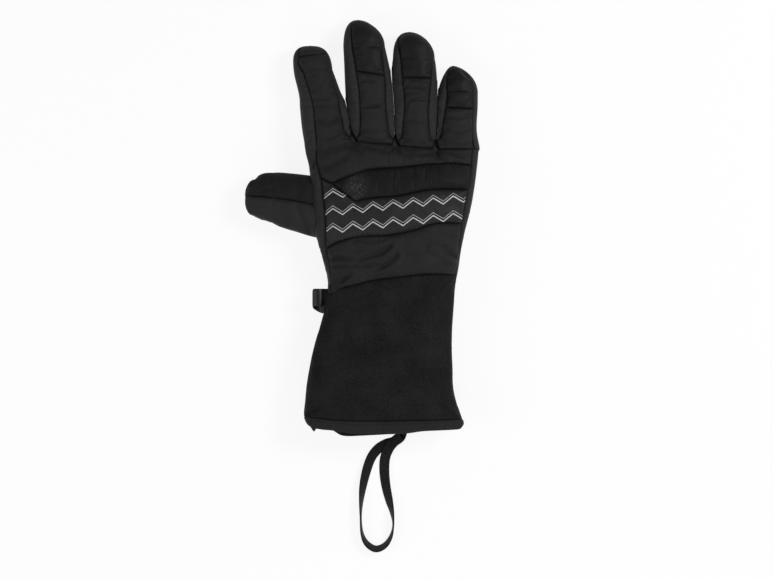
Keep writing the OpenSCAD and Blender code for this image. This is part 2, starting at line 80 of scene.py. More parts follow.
class Shading:
    """A node material that is being put together."""

    def __init__(self, name):
        self.material = bpy.data.materials.new(name)
        self.material.use_nodes = True
        self.nodes = self.material.node_tree.nodes
        self.links = self.material.node_tree.links
        self.shader = self.nodes["Principled BSDF"]

    def put(self, socket, value):
        if isinstance(value, bpy.types.NodeSocket):
            self.links.new(value, socket)
        else:
            socket.default_value = value

    def add(self, kind, inputs, **settings):
        node = self.nodes.new("ShaderNode" + kind)
        for key, value in settings.items():
            setattr(node, key, value)
        for key, value in inputs.items():
            self.put(node.inputs[key], value)
        return node

    def place(self):
        return self.add("TexCoord", {}).outputs["Object"]

    def maths(self, operation, *values):
        return self.add("Math", dict(enumerate(values)), operation=operation).outputs[0]

    def vectors(self, operation, *values):
        return self.add("VectorMath", dict(enumerate(values)), operation=operation).outputs

    def noise(self, where, scale, detail=2.0):
        return self.add("TexNoise", {"Vector": where, "Scale": scale, "Detail": detail}).outputs["Fac"]

    def wave(self, where, scale, direction, distortion=0.0):
        inputs = {"Vector": where, "Scale": scale, "Distortion": distortion}
        return self.add("TexWave", inputs, bands_direction=direction).outputs["Fac"]

    def spread(self, value, ends, **settings):
        """Maps one range onto another; ends gives those ends that aren't 0 or 1."""
        return self.add("MapRange", {"Value": value, **ends}, **settings).outputs[0]

    def ramp(self, value, dark, light, end=0.7, warm=0.0):
        """Greys from dark to light while the value goes from 0.3 to an end."""
        node = self.add("ValToRGB", {"Fac": value})
        for element, at, level in zip(node.color_ramp.elements, (0.3, end), (dark, light)):
            element.position = at
            element.color = (level * (1 + warm), level, level * (1 - warm), 1)
        return node.outputs["Color"]

    def mix(self, share, a, b):
        return self.add("Mix", {"Factor": share, "A": a, "B": b}, data_type="RGBA").outputs["Result"]

    def with_painted_seam_shade(self, colour):
        """Paints shade into a colour where the surface runs down into a seam, darkening it towards the seam
        shade colour.
        """
        seam = self.add("Attribute", {}, attribute_name="seam").outputs["Fac"]
        return self.mix(self.maths("MULTIPLY", seam, 0.85), colour, seam_shade_colour)

    def relief(self, height, strength, distance, **below):
        inputs = {"Strength": strength, "Distance": distance, "Height": height, **below}
        return self.add("Bump", inputs).outputs["Normal"]

    def finish(self, inputs):
        for key, value in inputs.items():
            self.put(self.shader.inputs[key], value)
        return self.material


def fabric(name, dark, light, roughness, weave_scale, weave_height, grain, sheen, warm=0.0, gloss=0.18):
    look = Shading(name)
    where = look.place()
    cloud = look.noise(where, 60, 4)
    speck = look.noise(where, grain)
    mixed = look.maths("ADD", look.maths("MULTIPLY", cloud, 0.4), look.maths("MULTIPLY", speck, 0.6))
    weave = look.maths("MULTIPLY", look.wave(where, weave_scale, "X"), look.wave(where, weave_scale, "Y"))
    return look.finish({
        "Base Color": look.with_painted_seam_shade(look.ramp(mixed, dark, light, warm=warm)),
        "Normal": look.relief(look.maths("ADD", weave, speck), 0.5, weave_height),
        "Roughness": roughness,
        "Specular IOR Level": gloss,
        "Sheen Weight": sheen,
        "Sheen Roughness": 0.5,
    })


def leather(name, dark, light, roughness, grain):
    look = Shading(name)
    where = look.place()
    cells = look.add("TexVoronoi", {"Vector": where, "Scale": grain}).outputs["Distance"]
    cloud = look.noise(where, 90, 4)
    pores = look.maths("ADD", cells, look.maths("MULTIPLY", cloud, 0.8))
    return look.finish({
        "Base Color": look.with_painted_seam_shade(look.ramp(cloud, dark, light, 0.72)),
        "Normal": look.relief(pores, 0.25, 0.00015),
        "Roughness": look.spread(cloud, {"To Min": roughness - 0.07, "To Max": roughness + 0.1}),
        "Specular IOR Level": 0.14,
    })


# Fabrics: darkest and lightest grey, roughness, scale and height of the weave, scale of the grain, sheen
softshell = fabric("softshell", 0.0135, 0.0202, 0.62, 520, 0.00012, 900, 0.02, gloss=0.09)
# Lighter copy of the softshell for side walls, strips and crotch gussets: painted light where the fingers
# shade each other
walls_painted_lighter = fabric("softshell_wall_painted_light", 0.0195, 0.028, 0.64, 480, 0.00012, 800, 0.025, gloss=0.09)
thumb_shell = fabric("softshell_thumb", 0.0165, 0.0238, 0.64, 480, 0.00012, 800, 0.025, gloss=0.09)
thumb_cloth = fabric("thumb_cloth", 0.0085, 0.0125, 0.68, 600, 0.0001, 1200, 0.01, gloss=0.1)
knit = fabric("cuff_knit", 0.003, 0.0175, 0.85, 330, 0.00025, 1100, 0.015, gloss=0.1)
hem_cloth = fabric("hem_cloth", 0.0135, 0.0205, 0.75, 420, 0.0002, 1000, 0.02, gloss=0.1)
fleece = fabric("fleece", 0.012, 0.03, 0.95, 200, 0.0005, 500, 0.3)
wadding = fabric("insulation", 0.2, 0.3, 0.95, 150, 0.0005, 300, 0.1)
elastic_cloth = fabric("elastic", 0.015, 0.03, 0.8, 700, 0.0003, 900, 0.1)
webbing = fabric("webbing", 0.004, 0.01, 0.6, 900, 0.0003, 1200, 0.03, warm=0.08)
thread = fabric("thread", 0.008, 0.016, 0.5, 1500, 0.0001, 1500, 0.03)
# Leathers: darkest and lightest grey, roughness, scale of the grain
cap_leather = leather("cap_leather", 0.0065, 0.010, 0.56, 1100)
palm_leather = leather("palm_leather", 0.007, 0.011, 0.52, 900)


def clip_tape_material():
    look = Shading("clip_tape")
    where = look.place()
    return look.finish({
        "Base Color": look.ramp(look.noise(where, 300, 3), 0.004, 0.009),
        "Normal": look.relief(look.noise(where, 900), 0.3, 0.0001),
        "Specular IOR Level": 0.3,
        "Roughness": 0.42,
    })


def knuckle_material():
    """Black ribbed band, with a glossier patch at its pointed end whose light flecks are glints painted
    into its colour.
    """
    patch_middle, patch_stretch = (-0.0248, 0.0126, 0), (1, 0.62, 0)
    patch_edge, patch_full = 0.0125, -0.002
    look = Shading("knuckle_gloss")
    where = look.place()
    stretched = look.vectors("MULTIPLY", where, patch_stretch)[0]
    offset = look.vectors("DISTANCE", stretched, patch_middle)["Value"]
    ends = {"From Min": patch_edge, "From Max": patch_full}
    patch = look.spread(offset, ends, interpolation_type="SMOOTHERSTEP")
    flecks = look.noise(where, 1300)
    # Painted glints: light grey flecks mixed into the colour on the patch
    painted_glints = look.maths("MULTIPLY", patch, look.spread(flecks, {"From Min": 0.42, "From Max": 0.72}))
    band = look.with_painted_seam_shade(look.ramp(look.noise(where, 130, 4), 0.0045, 0.0075, 0.75))
    ribs = look.relief(look.wave(where, 260, "X", 0.3), 0.35, 0.00022)
    return look.finish({
        "Base Color": look.mix(painted_glints, band, (0.075, 0.075, 0.075, 1)),
        "Normal": look.relief(flecks, 0.2, 0.0001, Normal=ribs),
        "Roughness": look.spread(patch, {"To Min": 0.6, "To Max": 0.34}),
        "Specular IOR Level": 0.14,
    })


def print_material():
    """Softshell with a plain printed pattern: rows of silver chevrons, each with a thin line beside it."""
    chevron_half, chevron_slope, row_slope = 0.0068, 0.7, 0.105
    row_step, row_start, rows_seen = 0.0118, 0.1927, (16, 19)
    thick_line, thin_line, thin_offset = 0.00086, 0.00016, 0.0024
    look = Shading("printed_softshell")
    where = look.place()
    x, y = look.add("SeparateXYZ", {0: where}).outputs[:2]
    corner = look.maths("PINGPONG", x, chevron_half)
    level = look.maths("SUBTRACT", look.maths("ADD", y, row_start), look.maths("MULTIPLY", x, row_slope))
    lifted = look.maths("ADD", level, look.maths("MULTIPLY", corner, chevron_slope))
    row = look.maths("MODULO", lifted, row_step)
    thick = look.maths("LESS_THAN", row, thick_line)
    beside = look.maths("ABSOLUTE", look.maths("SUBTRACT", row, thin_offset))
    line = look.maths("MAXIMUM", thick, look.maths("LESS_THAN", beside, thin_line))
    above = look.maths("GREATER_THAN", lifted, rows_seen[0] * row_step)
    below = look.maths("LESS_THAN", lifted, rows_seen[1] * row_step)
    line = look.maths("MULTIPLY", line, look.maths("MULTIPLY", above, below))
    speck = look.noise(where, 900)
    wear = look.maths("ADD", speck, look.noise(where, 60, 4))
    worn = look.spread(wear, {"From Min": 0.55, "From Max": 0.85, "To Min": 0.55})
    ink = look.maths("MULTIPLY", line, worn)
    base = look.with_painted_seam_shade(look.ramp(speck, 0.0115, 0.0175))
    return look.finish({
        "Base Color": look.mix(ink, base, (0.5, 0.5, 0.51, 1)),
        "Roughness": look.spread(ink, {"To Min": 0.6, "To Max": 0.35}),
        "Normal": look.relief(look.maths("ADD", look.maths("MULTIPLY", ink, 0.8), speck), 0.4, 0.00015),
        "Specular IOR Level": 0.2,
    })


clip_tape = clip_tape_material()
knuckle_gloss = knuckle_material()
printed = print_material()


# Small tools for surfaces; the glove's own lengths are in millimetres
def curve(table):
    """Smooth curve through rows of (place, value, value, ...)."""
    at = np.array([row[0] for row in table], float)
    values = np.array([row[1:] for row in table], float)
    slopes = np.empty_like(values)
    slopes[1:-1] = (values[2:] - values[:-2]) / (at[2:] - at[:-2])[:, None]
    slopes[0] = (values[1] - values[0]) / (at[1] - at[0])
    slopes[-1] = (values[-1] - values[-2]) / (at[-1] - at[-2])

    def value(t):
        t = np.clip(np.asarray(t, float), at[0], at[-1])
        i = np.clip(np.searchsorted(at, t, side="right") - 1, 0, len(at) - 2)
        span = at[i + 1] - at[i]
        u = ((t - at[i]) / span)[..., None]
        span = span[..., None]
        a, b = values[i], values[i + 1]
        result = a * (1 + 2 * u) * (1 - u) ** 2 + slopes[i] * span * u * (1 - u) ** 2
        result = result + b * u * u * (3 - 2 * u) + slopes[i + 1] * span * u * u * (u - 1)
        return result[..., 0] if result.shape[-1] == 1 else np.moveaxis(result, -1, 0)

    return value


def power(value, exponent):
    return np.sign(value) * np.abs(value) ** exponent


def ease(value):
    value = np.clip(value, 0, 1)
    return value * value * (3 - 2 * value)


def near(distance, reach):
    """1 at a place, falling to 0 beyond a reach."""
    return np.exp(-(distance / reach) ** 2)


def closed(grid):
    """A ring of columns, with its first column again at the end."""
    return np.concatenate([grid, grid[:, :1]], axis=1)


def sideways(up, axis):
    """1 where a surface faces along an axis, 0 where it faces away from it."""
    return ease((np.abs(up[..., axis]) - 0.45) / 0.4)


def rest_on(shape, level):
    """Keeps a shape from sinking below a level."""
    shape[..., 2] = np.maximum(shape[..., 2], level)
    return shape


def round_rows(dome, top, count):
    """Places of the rows round a tip."""
    return dome + (top - dome) * np.sin(np.radians(np.linspace(0, 88, count)))


def angle_of(share, squareness):
    """Angle round a section at which its top passes a share of the half width."""
    return np.arccos(np.clip(power(share, squareness / 2), -1, 1))


def crowded(t, weight=1.0):
    """Steps from 0 to 1 that lie closer together at both ends, where the seams are."""
    return t - 0.72 * np.sin(2 * math.pi * t) / (2 * math.pi) * weight


def fill(*ends):
    """Columns between seams: ends are arrays of angles, counts of columns between them."""
    parts = []
    for i in range(0, len(ends) - 2, 2):
        a, count, b = np.asarray(ends[i], float), ends[i + 1], np.asarray(ends[i + 2], float)
        t = crowded(np.arange(count) / count)
        parts.append(a[:, None] * (1 - t) + b[:, None] * t)
    return np.concatenate(parts, axis=1)


def normals(grid):
    """Directions across a grid whose columns run round in a ring."""
    around = np.roll(grid, -1, 1) - np.roll(grid, 1, 1)
    n = np.cross(around, np.gradient(grid, axis=0))
    length = np.linalg.norm(n, axis=2, keepdims=True)
    return n / np.maximum(length, 1e-9)


def seam_distance(grid, columns, rows):
    """Distance of every grid point from the nearest seam column or seam row."""
    best = np.full(grid.shape[:2], 1e3)
    for column in columns:
        best = np.minimum(best, np.linalg.norm(grid - grid[:, column:column + 1], axis=2))
    for row, first, last in rows:
        part = np.s_[:, first:last + 1]
        best[part] = np.minimum(best[part], np.linalg.norm(grid[part] - grid[row, first:last + 1], axis=2))
    return best


def line_distance(points, line):
    """Distance in plan of points from a line of (x, y) places."""
    best = np.full(points.shape[:-1], 1e3)
    for (x0, y0), (x1, y1) in zip(line, line[1:]):
        dx, dy = x1 - x0, y1 - y0
        x, y = points[..., 0] - x0, points[..., 1] - y0
        t = np.clip((x * dx + y * dy) / (dx * dx + dy * dy), 0, 1)
        best = np.minimum(best, np.hypot(x - t * dx, y - t * dy))
    return best


def fold(points, line, width, depth):
    """A crease: a valley with a soft ridge on both sides."""
    d = line_distance(points, line) / width
    return depth * (0.55 * np.exp(-((d - 1.9) / 1.1) ** 2) - np.exp(-d * d))


def ripple(points, seed, size, height):
    """Soft unevenness of a size and height."""
    random = np.random.default_rng(seed)
    total = np.zeros(points.shape[:-1])
    for _ in range(10):
        direction = random.normal(size=3)
        direction *= random.uniform(0.6, 1.5) * 2 * math.pi / size / np.linalg.norm(direction)
        total += np.sin(points @ direction + random.uniform(0, 6.28))
    return total * height / 3.2


class Cloth:
    """Gathers grids, stitches and other bits of one piece."""

    def __init__(self):
        self.vertices, self.faces, self.indices, self.shades, self.count = [], [], [], [], 0

    def grid(self, points, slot=0, flip=False, tip=None, ring=False, shade=None):
        rows, columns = points.shape[:2]
        ids = np.arange(rows * columns).reshape(rows, columns) + self.count
        if ring:
            ids = closed(ids)
        quads = np.stack([ids[:-1, :-1], ids[:-1, 1:], ids[1:, 1:], ids[1:, :-1]], axis=-1).reshape(-1, 4)
        if flip:
            quads = quads[:, ::-1]
        self.vertices.append(points.reshape(-1, 3))
        self.shades.append(np.zeros(rows * columns) if shade is None else shade.reshape(-1))
        self.count += rows * columns
        faces = quads.tolist()
        if tip is not None:
            self.vertices.append(np.asarray(tip).reshape(1, 3))
            self.shades.append(np.zeros(1))
            last = ids[-1]
            ends = [[int(last[i]), int(last[i + 1]), self.count] for i in range(len(last) - 1)]
            faces += [f[::-1] for f in ends] if flip else ends
            self.count += 1
        self.faces += faces
        self.indices += [slot] * len(faces)
        return self

    def stitches(self, line, up, length, gap, radius, slot=1):
        """A row of sewn stitches along a line of points, with the surface's direction at each."""
        steps = np.concatenate([[0], np.cumsum(np.linalg.norm(np.diff(line, axis=0), axis=1))])
        count = int(steps[-1] // (length + gap))
        for k in range(count):
            start = k * (length + gap) + gap / 2
            span = np.linspace(start, start + length, 5)
            points = np.stack([np.interp(span, steps, line[:, i]) for i in range(3)], axis=1)
            above = np.stack([np.interp(span, steps, up[:, i]) for i in range(3)], axis=1)
            forward = points[-1] - points[0]
            forward = forward / max(np.linalg.norm(forward), 1e-9)
            side = np.cross(above, forward)
            thick = np.array([0.35, 0.9, 1, 0.9, 0.35])[:, None] * radius
            lift = np.array([-0.25, 0.25, 0.4, 0.25, -0.25])[:, None] * radius
            turn = np.linspace(0, 2 * math.pi, 7)[:-1]
            tube = []
            for a in turn:
                tube.append(points + above * (lift + thick * math.cos(a)) + side * thick * math.sin(a))
            self.grid(np.stack(tube, axis=1), slot, ring=True)
        return self

    def build(self, name, materials):
        mesh = bpy.data.meshes.new(name)
        mesh.from_pydata((np.concatenate(self.vertices) * MM).tolist(), [], self.faces)
        shade = np.concatenate(self.shades).astype(np.float32)
        # The seam attribute carries painted shade: how far the colour darkens towards a seam
        mesh.attributes.new("seam", "FLOAT", "POINT").data.foreach_set("value", shade)
        for material in materials:
            mesh.materials.append(material)
        mesh.polygons.foreach_set("material_index", np.asarray(self.indices, np.int32))
        mesh.polygons.foreach_set("use_smooth", np.ones(len(mesh.polygons), bool))
        mesh.update()
        piece = bpy.data.objects.new(name, mesh)
        bpy.context.scene.collection.objects.link(piece)
        return piece

    def sew(self, node, materials, slot_name, body, zone=None):
        """Builds the piece for a CAD node and hides the node; with one body it is attached to it, with two
        bodies and a soft zone it is only baked in place.
        """
        piece = self.build(node, materials)
        piece.name = node + "_sewn"
        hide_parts(node)
        if zone is None:
            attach(piece, body)
        else:
            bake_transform(piece)
        return piece


def settle(grid, held, tip, growth, pressure, limit, flip=False):
    """Cloth simulation: padding swells a surface between its seams, which are held.

    Gives how far each point moves, which is at most the limit.
    """
    enlarged = 10
    cloth = Cloth().grid(grid * enlarged, flip=flip, ring=True, tip=None if tip is None else tip * enlarged)
    piece = cloth.build("settling", [softshell])
    group = piece.vertex_groups.new(name="held")
    group.add(np.flatnonzero(held.reshape(-1)).tolist(), 1.0, "REPLACE")
    modifier = piece.modifiers.new("settling", "CLOTH")
    modifier.collision_settings.use_collision = False
    settings = modifier.settings
    settings.effector_weights.gravity = 0
    values = dict(
        quality=5, mass=0.2, tension_stiffness=20, compression_stiffness=20, shear_stiffness=8,
        bending_stiffness=0.8, air_damping=3, use_pressure=True, uniform_pressure_force=pressure,
        shrink_min=-growth, vertex_group_mass=group.name,
    )
    for key, value in values.items():
        setattr(settings, key, value)
    scene = bpy.context.scene
    for step in range(1, 17):
        scene.frame_set(step)
    settled = piece.evaluated_get(bpy.context.evaluated_depsgraph_get()).data
    points = np.empty(len(settled.vertices) * 3)
    settled.vertices.foreach_get("co", points)
    points = points.reshape(-1, 3)[:grid.shape[0] * grid.shape[1]].reshape(grid.shape) / MM / enlarged
    scene.frame_set(1)
    mesh = piece.data
    bpy.data.objects.remove(piece)
    bpy.data.meshes.remove(mesh)
    move = points - grid
    size = np.linalg.norm(move, axis=2, keepdims=True)
    return move * limit * np.tanh(size / limit) / np.maximum(size, 1e-6)


# Leash: one length of webbing that leaves the hem, lies in a loop and goes back under it
leash_width, leash_thickness = 7.0, 1.2
hem_y = joint_at["leash_swing"][1] + 1.1
# Route of the leash: place across, distance behind the hem, roll in degrees, lift
leash_route = [
    (6.2, 0.5, 0, 2.6), (6.0, 3, 0, 1.8), (4.6, 6, 0, 0.9), (0.2, 8.9, 0, 0.2), (-5, 10.5, 4, 0),
    (-10.5, 14, 12, 0), (-15, 20, 22, 0), (-18.2, 29, 30, 0), (-20.6, 40, 48, 0), (-21.8, 51, 72, 0),
    (-22, 61, 86, 0), (-21.2, 71, 78, 0), (-18.2, 78, 62, 0), (-12.2, 82, 55, 0), (-6, 80, 60, 0),
    (-1.6, 74, 74, 0), (0.2, 66, 88, 0), (-0.6, 57.5, 70, 0), (-2.6, 49, 45, 0), (-4.8, 39, 28, 0),
    (-5.9, 29, 12, 0), (-5.4, 20, 4, 0.6), (-2.6, 13, 0, 1.9), (1.6, 8, 0, 2.4), (5.4, 5.2, 0, 3.4),
]


def leash_piece():
    route = curve([(i, x, hem_y - d, roll, lift) for i, (x, d, roll, lift) in enumerate(leash_route)])
    x, y, roll, lift = route(np.linspace(0, len(leash_route) - 1, 241))
    roll = np.radians(roll)
    lift = np.maximum(lift, 0)
    half, thick = leash_width / 2, leash_thickness / 2
    z = lift + half * np.abs(np.sin(roll)) + thick * np.abs(np.cos(roll))
    centre = np.stack([x, y, z], axis=1)
    forward = np.gradient(centre, axis=0)
    forward[:, 2] = 0
    forward /= np.linalg.norm(forward, axis=1, keepdims=True)
    level = np.stack([forward[:, 1], -forward[:, 0], 0 * x], axis=1)
    upward = np.array([0, 0, 1.0])
    wide = level * np.cos(roll)[:, None] + upward * np.sin(roll)[:, None]
    flat = np.cross(wide, forward)
    turn = np.linspace(0, 2 * math.pi, 21)[:-1]
    rings = []
    for a in turn:
        across, through = half * power(math.cos(a), 0.45), thick * power(math.sin(a), 0.6)
        rings.append(centre + wide * across + flat * through)
    cloth = Cloth().grid(np.stack(rings, axis=1), ring=True)
    piece = cloth.sew("leash_strap", [webbing], "webbing", "leash")


leash_piece()


# Hand and cuff: one surface given by its side edges and heights along the glove
# Rows of hand_table: distance along, left edge, right edge, lowest and highest level
hand_square = 2.8
hand_table = curve([
    (-151, -57.0, 48.4, 1.5, 35.8),
    (-142, -58.6, 48.0, 1.3, 36.0),
    (-136, -60.6, 46.2, 1.3, 36.0),
    (-126, -59.8, 42.8, 1.3, 35.6),
    (-116, -58.9, 40.9, 1.3, 35.2),
    (-104, -56.9, 40.6, 1.3, 34.8),
    (-90, -53.9, 40.1, 1.3, 34.4),
    (-76, -49.8, 40.4, 1.3, 34.0),
    (-62, -46.0, 41.4, 1.3, 33.6),
    (-48, -44.4, 42.4, 1.3, 33.8),
    (-36, -46.2, 44.6, 1.3, 34.6),
    (-24, -49.0, 46.3, 1.3, 36.0),
    (-10, -53.6, 49.2, 1.3, 36.8),
    (5, -55.0, 53.0, 1.3, 36.8),
    (20, -56.0, 55.6, 1.3, 35.0),
    (33, -57.2, 57.3, 1.3, 31.6),
    (42, -59.4, 58.2, 1.3, 28.4),
    (52, -60.9, 59.4, 1.3, 26.0),
])
left_seam = curve([
    (-56, -42.0), (-40, -43.8), (-24, -45.6), (0, -46.8), (13, -48.2), (21, -49.2), (28.2, -50.2),
    (36.7, -52.2), (47, -52.6), (54, -52.8),
])
right_seam = curve([(-44, 41.6), (-32, 44.9), (-17, 46.0), (0, 49.0), (17, 52.2), (35, 53.9), (52, 56.0)])

front_line = curve([
    (-61, 49.2), (-44, 50.5), (-27, 50.6), (-12, 48.6), (1.4, 47.6), (15, 46), (28.6, 44.8), (61, 44.8),
])
knuckle_line = curve([
    (-56, 28.6), (-50, 25.6), (-45, 22.9), (-42.6, 21.9), (-41, 22.1), (-37, 24.0), (-33, 25.6),
    (-25.8, 28), (-16.3, 30.9), (4.8, 32.6), (25.2, 34.7), (40.8, 35.4), (53, 34),
])
band_line = curve([
    (-56, 28.2), (-50, 25.2), (-45, 22.5), (-42.6, 21.4), (-41, 20.6), (-38, 18.2), (-33.5, 14.6),
    (-28.5, 10.9), (-26.2, 9.4), (-24.4, 9.5), (-20.4, 10.5), (-10.9, 11.6), (4.8, 12.9), (21.1, 16.3),
    (32, 17.3), (53, 17),
])
print_line = curve([
    (-46.5, -23.4), (-38, -19), (-24.5, -15.3), (-5.4, -14.3), (4.8, -12.9), (16.3, -10.2),
    (26.5, -6.8), (35.4, -5.8), (47, -6.1),
])
cuff_line = curve([
    (-46, -56), (-42.2, -54.1), (-35.7, -50.3), (-22.8, -46.9), (-11.6, -44.2), (5.4, -42.2),
    (21.8, -40.5), (44, -40.8),
])
hem_line = curve([
    (-62, -136.7), (-49.6, -138.2), (-39.4, -139.2), (-26.5, -139.7), (-10.5, -139.8), (5.4, -139.6),
    (21.8, -139.3), (48, -138.8),
])
hem_end = curve([
    (-62, -140.6), (-60.6, -141.4), (-58.6, -143.6), (-57.4, -144.6), (-56.2, -147.2), (-54.8, -145.4),
    (-50, -145.8), (-43.6, -146.2), (-38, -147.0), (-30, -148.2), (-10, -148.7), (2.4, -148.4),
    (9.6, -147.9), (18.4, -146.7), (30, -146.1), (43, -145.5), (45.6, -144.8), (47, -143.0), (50, -140.8),
])
hem_under = curve([
    (-62, -140.6), (-58.6, -143.6), (-54.8, -145.4), (-45, -146.1), (-42.4, -147.6), (-38.4, -150.2),
    (-34, -151.0), (-26, -150.8), (2.4, -149.2), (9.6, -147.9), (18.4, -146.7), (43, -145.5),
    (50, -140.8),
])


# Fingers: (distance along, middle, half width, height of the middle, half height), then the round tip;
# the back's side seams as shares of the half width; the cap's seam, the cut between the two halves of a
# finger, the zones given at its two folds, and how much its root narrows
digits = {
    "index": dict(
        table=[(40, -42.4, 16.9, 13.6, 12.1), (49.6, -43.6, 16.9, 13.5, 12.1),
               (58, -45.1, 16.8, 13.3, 11.9), (66, -46.3, 16.5, 13.0, 11.6), (74, -47.4, 16.1, 12.6, 11.2),
               (79, -48.5, 15.2, 12.4, 11.0), (84, -50.1, 14.4, 12.2, 10.8),
               (94.5, -53.3, 13.8, 11.6, 10.2), (99, -54.5, 13.3, 11.4, 10.0)],
        top=115.6, bluntness=2.8, skew=-1.9, bend=1,
        left=[(40, -.56), (47, -.54), (55, -.5), (65, -.465), (71, -.45), (78.5, -.487), (87.5, -.52),
              (96.6, -.555), (105.5, -.736), (120, -.8)],
        right=[(40, .86), (49, .8), (57.4, .738), (67.8, .695), (75, .7), (79, .79), (84, .85), (92, .9),
               (120, .92)],
        cap=108.6, tilt=1.8, cut=67, knuckle=(47, 66), middle=(68, 96), root=0.0),
    "middle": dict(
        table=[(38, -12.8, 14.6, 13.6, 12.1), (49, -13.0, 14.9, 13.5, 12.1), (65, -14.6, 16.1, 13.2, 11.9),
               (74, -15.5, 16.5, 12.9, 11.6), (82.3, -15.9, 16.5, 12.5, 11.2),
               (92, -16.6, 16.3, 12.0, 10.7), (102.7, -18.0, 15.3, 11.6, 10.3),
               (114.9, -19.7, 14.2, 11.3, 9.9)],
        top=133.3, bluntness=2.0, skew=-4.2, bend=2,
        left=[(38, -.74), (49, -.7), (65, -.5), (80, -.44), (100, -.53), (122, -.66), (134, -.7)],
        right=[(38, .8), (49, .77), (72, .66), (100, .75), (120, .94), (134, .96)],
        cap=96.7, tilt=-2.6, cut=72, knuckle=(47, 68), middle=(76, 104), root=1.5),
    "ring": dict(
        table=[(36, 15.0, 14.0, 13.6, 12.1), (47, 15.1, 14.2, 13.5, 12.1), (65, 15.4, 14.9, 13.2, 11.9),
               (82.3, 15.2, 15.6, 12.3, 11.0), (92, 14.6, 15.5, 11.9, 10.6),
               (102.7, 14.3, 14.9, 11.5, 10.1), (106.8, 14.2, 14.3, 11.4, 9.9)],
        top=125.1, bluntness=2.05, skew=-3.1, bend=2,
        left=[(36, -.74), (47, -.7), (65, -.58), (75, -.51), (102, -.62), (120, -.86), (126, -.9)],
        right=[(36, .84), (47, .8), (65, .6), (80, .62), (102, .86), (126, .97)],
        cap=93.3, tilt=-0.5, cut=69.5, knuckle=(47, 67), middle=(72, 100), root=1.5),
    "little": dict(
        table=[(34, 44.0, 15.6, 13.6, 12.1), (45.6, 43.6, 15.5, 13.5, 12.1), (55, 43.0, 14.4, 13.1, 11.8),
               (61.9, 43.1, 14.0, 12.8, 11.5), (74, 43.8, 14.0, 12.0, 10.7),
               (84, 44.4, 13.5, 11.6, 10.2)],
        top=102.0, bluntness=1.65, skew=-3.3, bend=3.5,
        left=[(34, -.82), (47, -.78), (62, -.68), (80, -.58), (98, -.8), (102, -.82)],
        right=[(34, .76), (47, .76), (62, .84), (80, .8), (102, .78)],
        cap=72.7, tilt=-0.7, cut=61, knuckle=(47, 61), middle=(61, 83), root=1.5),
}
# Lines in plan along which two neighbouring fingers press against each other; where they part;
# how far the wall between them leans for every millimetre of height; and the least gap at the line
between = [
    curve([(30, -27.0), (50, -27.3), (58, -28.8), (66, -30.3), (74, -31.7), (80, -32.8), (120, -36)]),
    curve([(30, 1.5), (44, 1.4), (65, 1.0), (82, 0.1), (97, -1.2), (130, -1.8)]),
    curve([(30, 28.4), (44, 28.6), (65, 29.7), (85, 30.5), (130, 30.7)]),
]
parting = [78, 97, 86]
parting_tilt = [0.04, 0.034, 0.022]
parting_gap = [0.16, 0.27, 0.16]
digit_square = 2.5
finger_columns = (26, 14, 20, 14)
finger_first = np.cumsum((0,) + finger_columns[:3]).tolist()
finger_palm = (215, 325)
finger_level, finger_root = 13, 6.5


def digit_section(digit):
    table = curve(digit["table"])
    dome = digit["table"][-1][0]

    def section(y):
        y = np.asarray(y, float)
        middle, wide, level, high = table(np.minimum(y, dome))
        s = np.clip((y - dome) / (digit["top"] - dome), 0, 1)
        blunt = digit["bluntness"]
        wide = wide * np.maximum(1 - s ** blunt, 0) ** (1 / blunt)
        high = high * np.maximum(1 - s ** 2.1, 0) ** (1 / 2.1)
        return middle + digit["skew"] * s ** digit["bend"], wide, level - 0.8 * s * s, high

    return section


def digit_top(x, y, side):
    """Height of the fingers' backs (side 1) or palms (side -1) over a place near the knuckles."""
    best = np.full(np.shape(x), 13.5)
    for digit in digits.values():
        middle, wide, level, high = digit_section(digit)(y)
        inside = np.clip(1 - np.abs((x - middle) / wide) ** digit_square, 0, 1) ** (1 / digit_square)
        z = level + side * high * inside
        best = np.where(np.abs(x - middle) < wide, z, best)
    return best


def hand_point(y, angle):
    left, right, low, high = hand_table(y)
    cosine, sine = np.cos(angle), np.sin(angle)
    x = (left + right) / 2 + (right - left) / 2 * power(cosine, 2 / hand_square)
    z = (low + high) / 2 + (high - low) / 2 * power(sine, 2 / hand_square)
    return np.stack([x, y + 0 * x, z], axis=-1)


def hand_angle(x, y):
    left, right, _, _ = hand_table(y)
    share = (x - (left + right) / 2) / ((right - left) / 2)
    return angle_of(np.clip(share, -0.999, 0.999), hand_square)


hand_counts = (108, 16, 60, 12)
hand_first = np.cumsum((0,) + hand_counts).tolist()
row_counts = (20, 20, 30, 54)
row_first = np.cumsum((0,) + row_counts).tolist()
palm_left, palm_right = math.radians(206), math.radians(332)
palm_front, palm_end = 48, -47
crotch_span, crotch_level = (-31, 33), 21.4


def row_places(lines, counts, x):
    """Distances along the glove of every row, where the rows run between curved lines."""
    edges = [line(x) for line in lines]
    rows = []
    for k, count in enumerate(counts):
        t = crowded(np.arange(count + (k == len(counts) - 1)) / count)
        rows += [edges[k] * (1 - s) + edges[k + 1] * s for s in t]
    return np.array(rows)


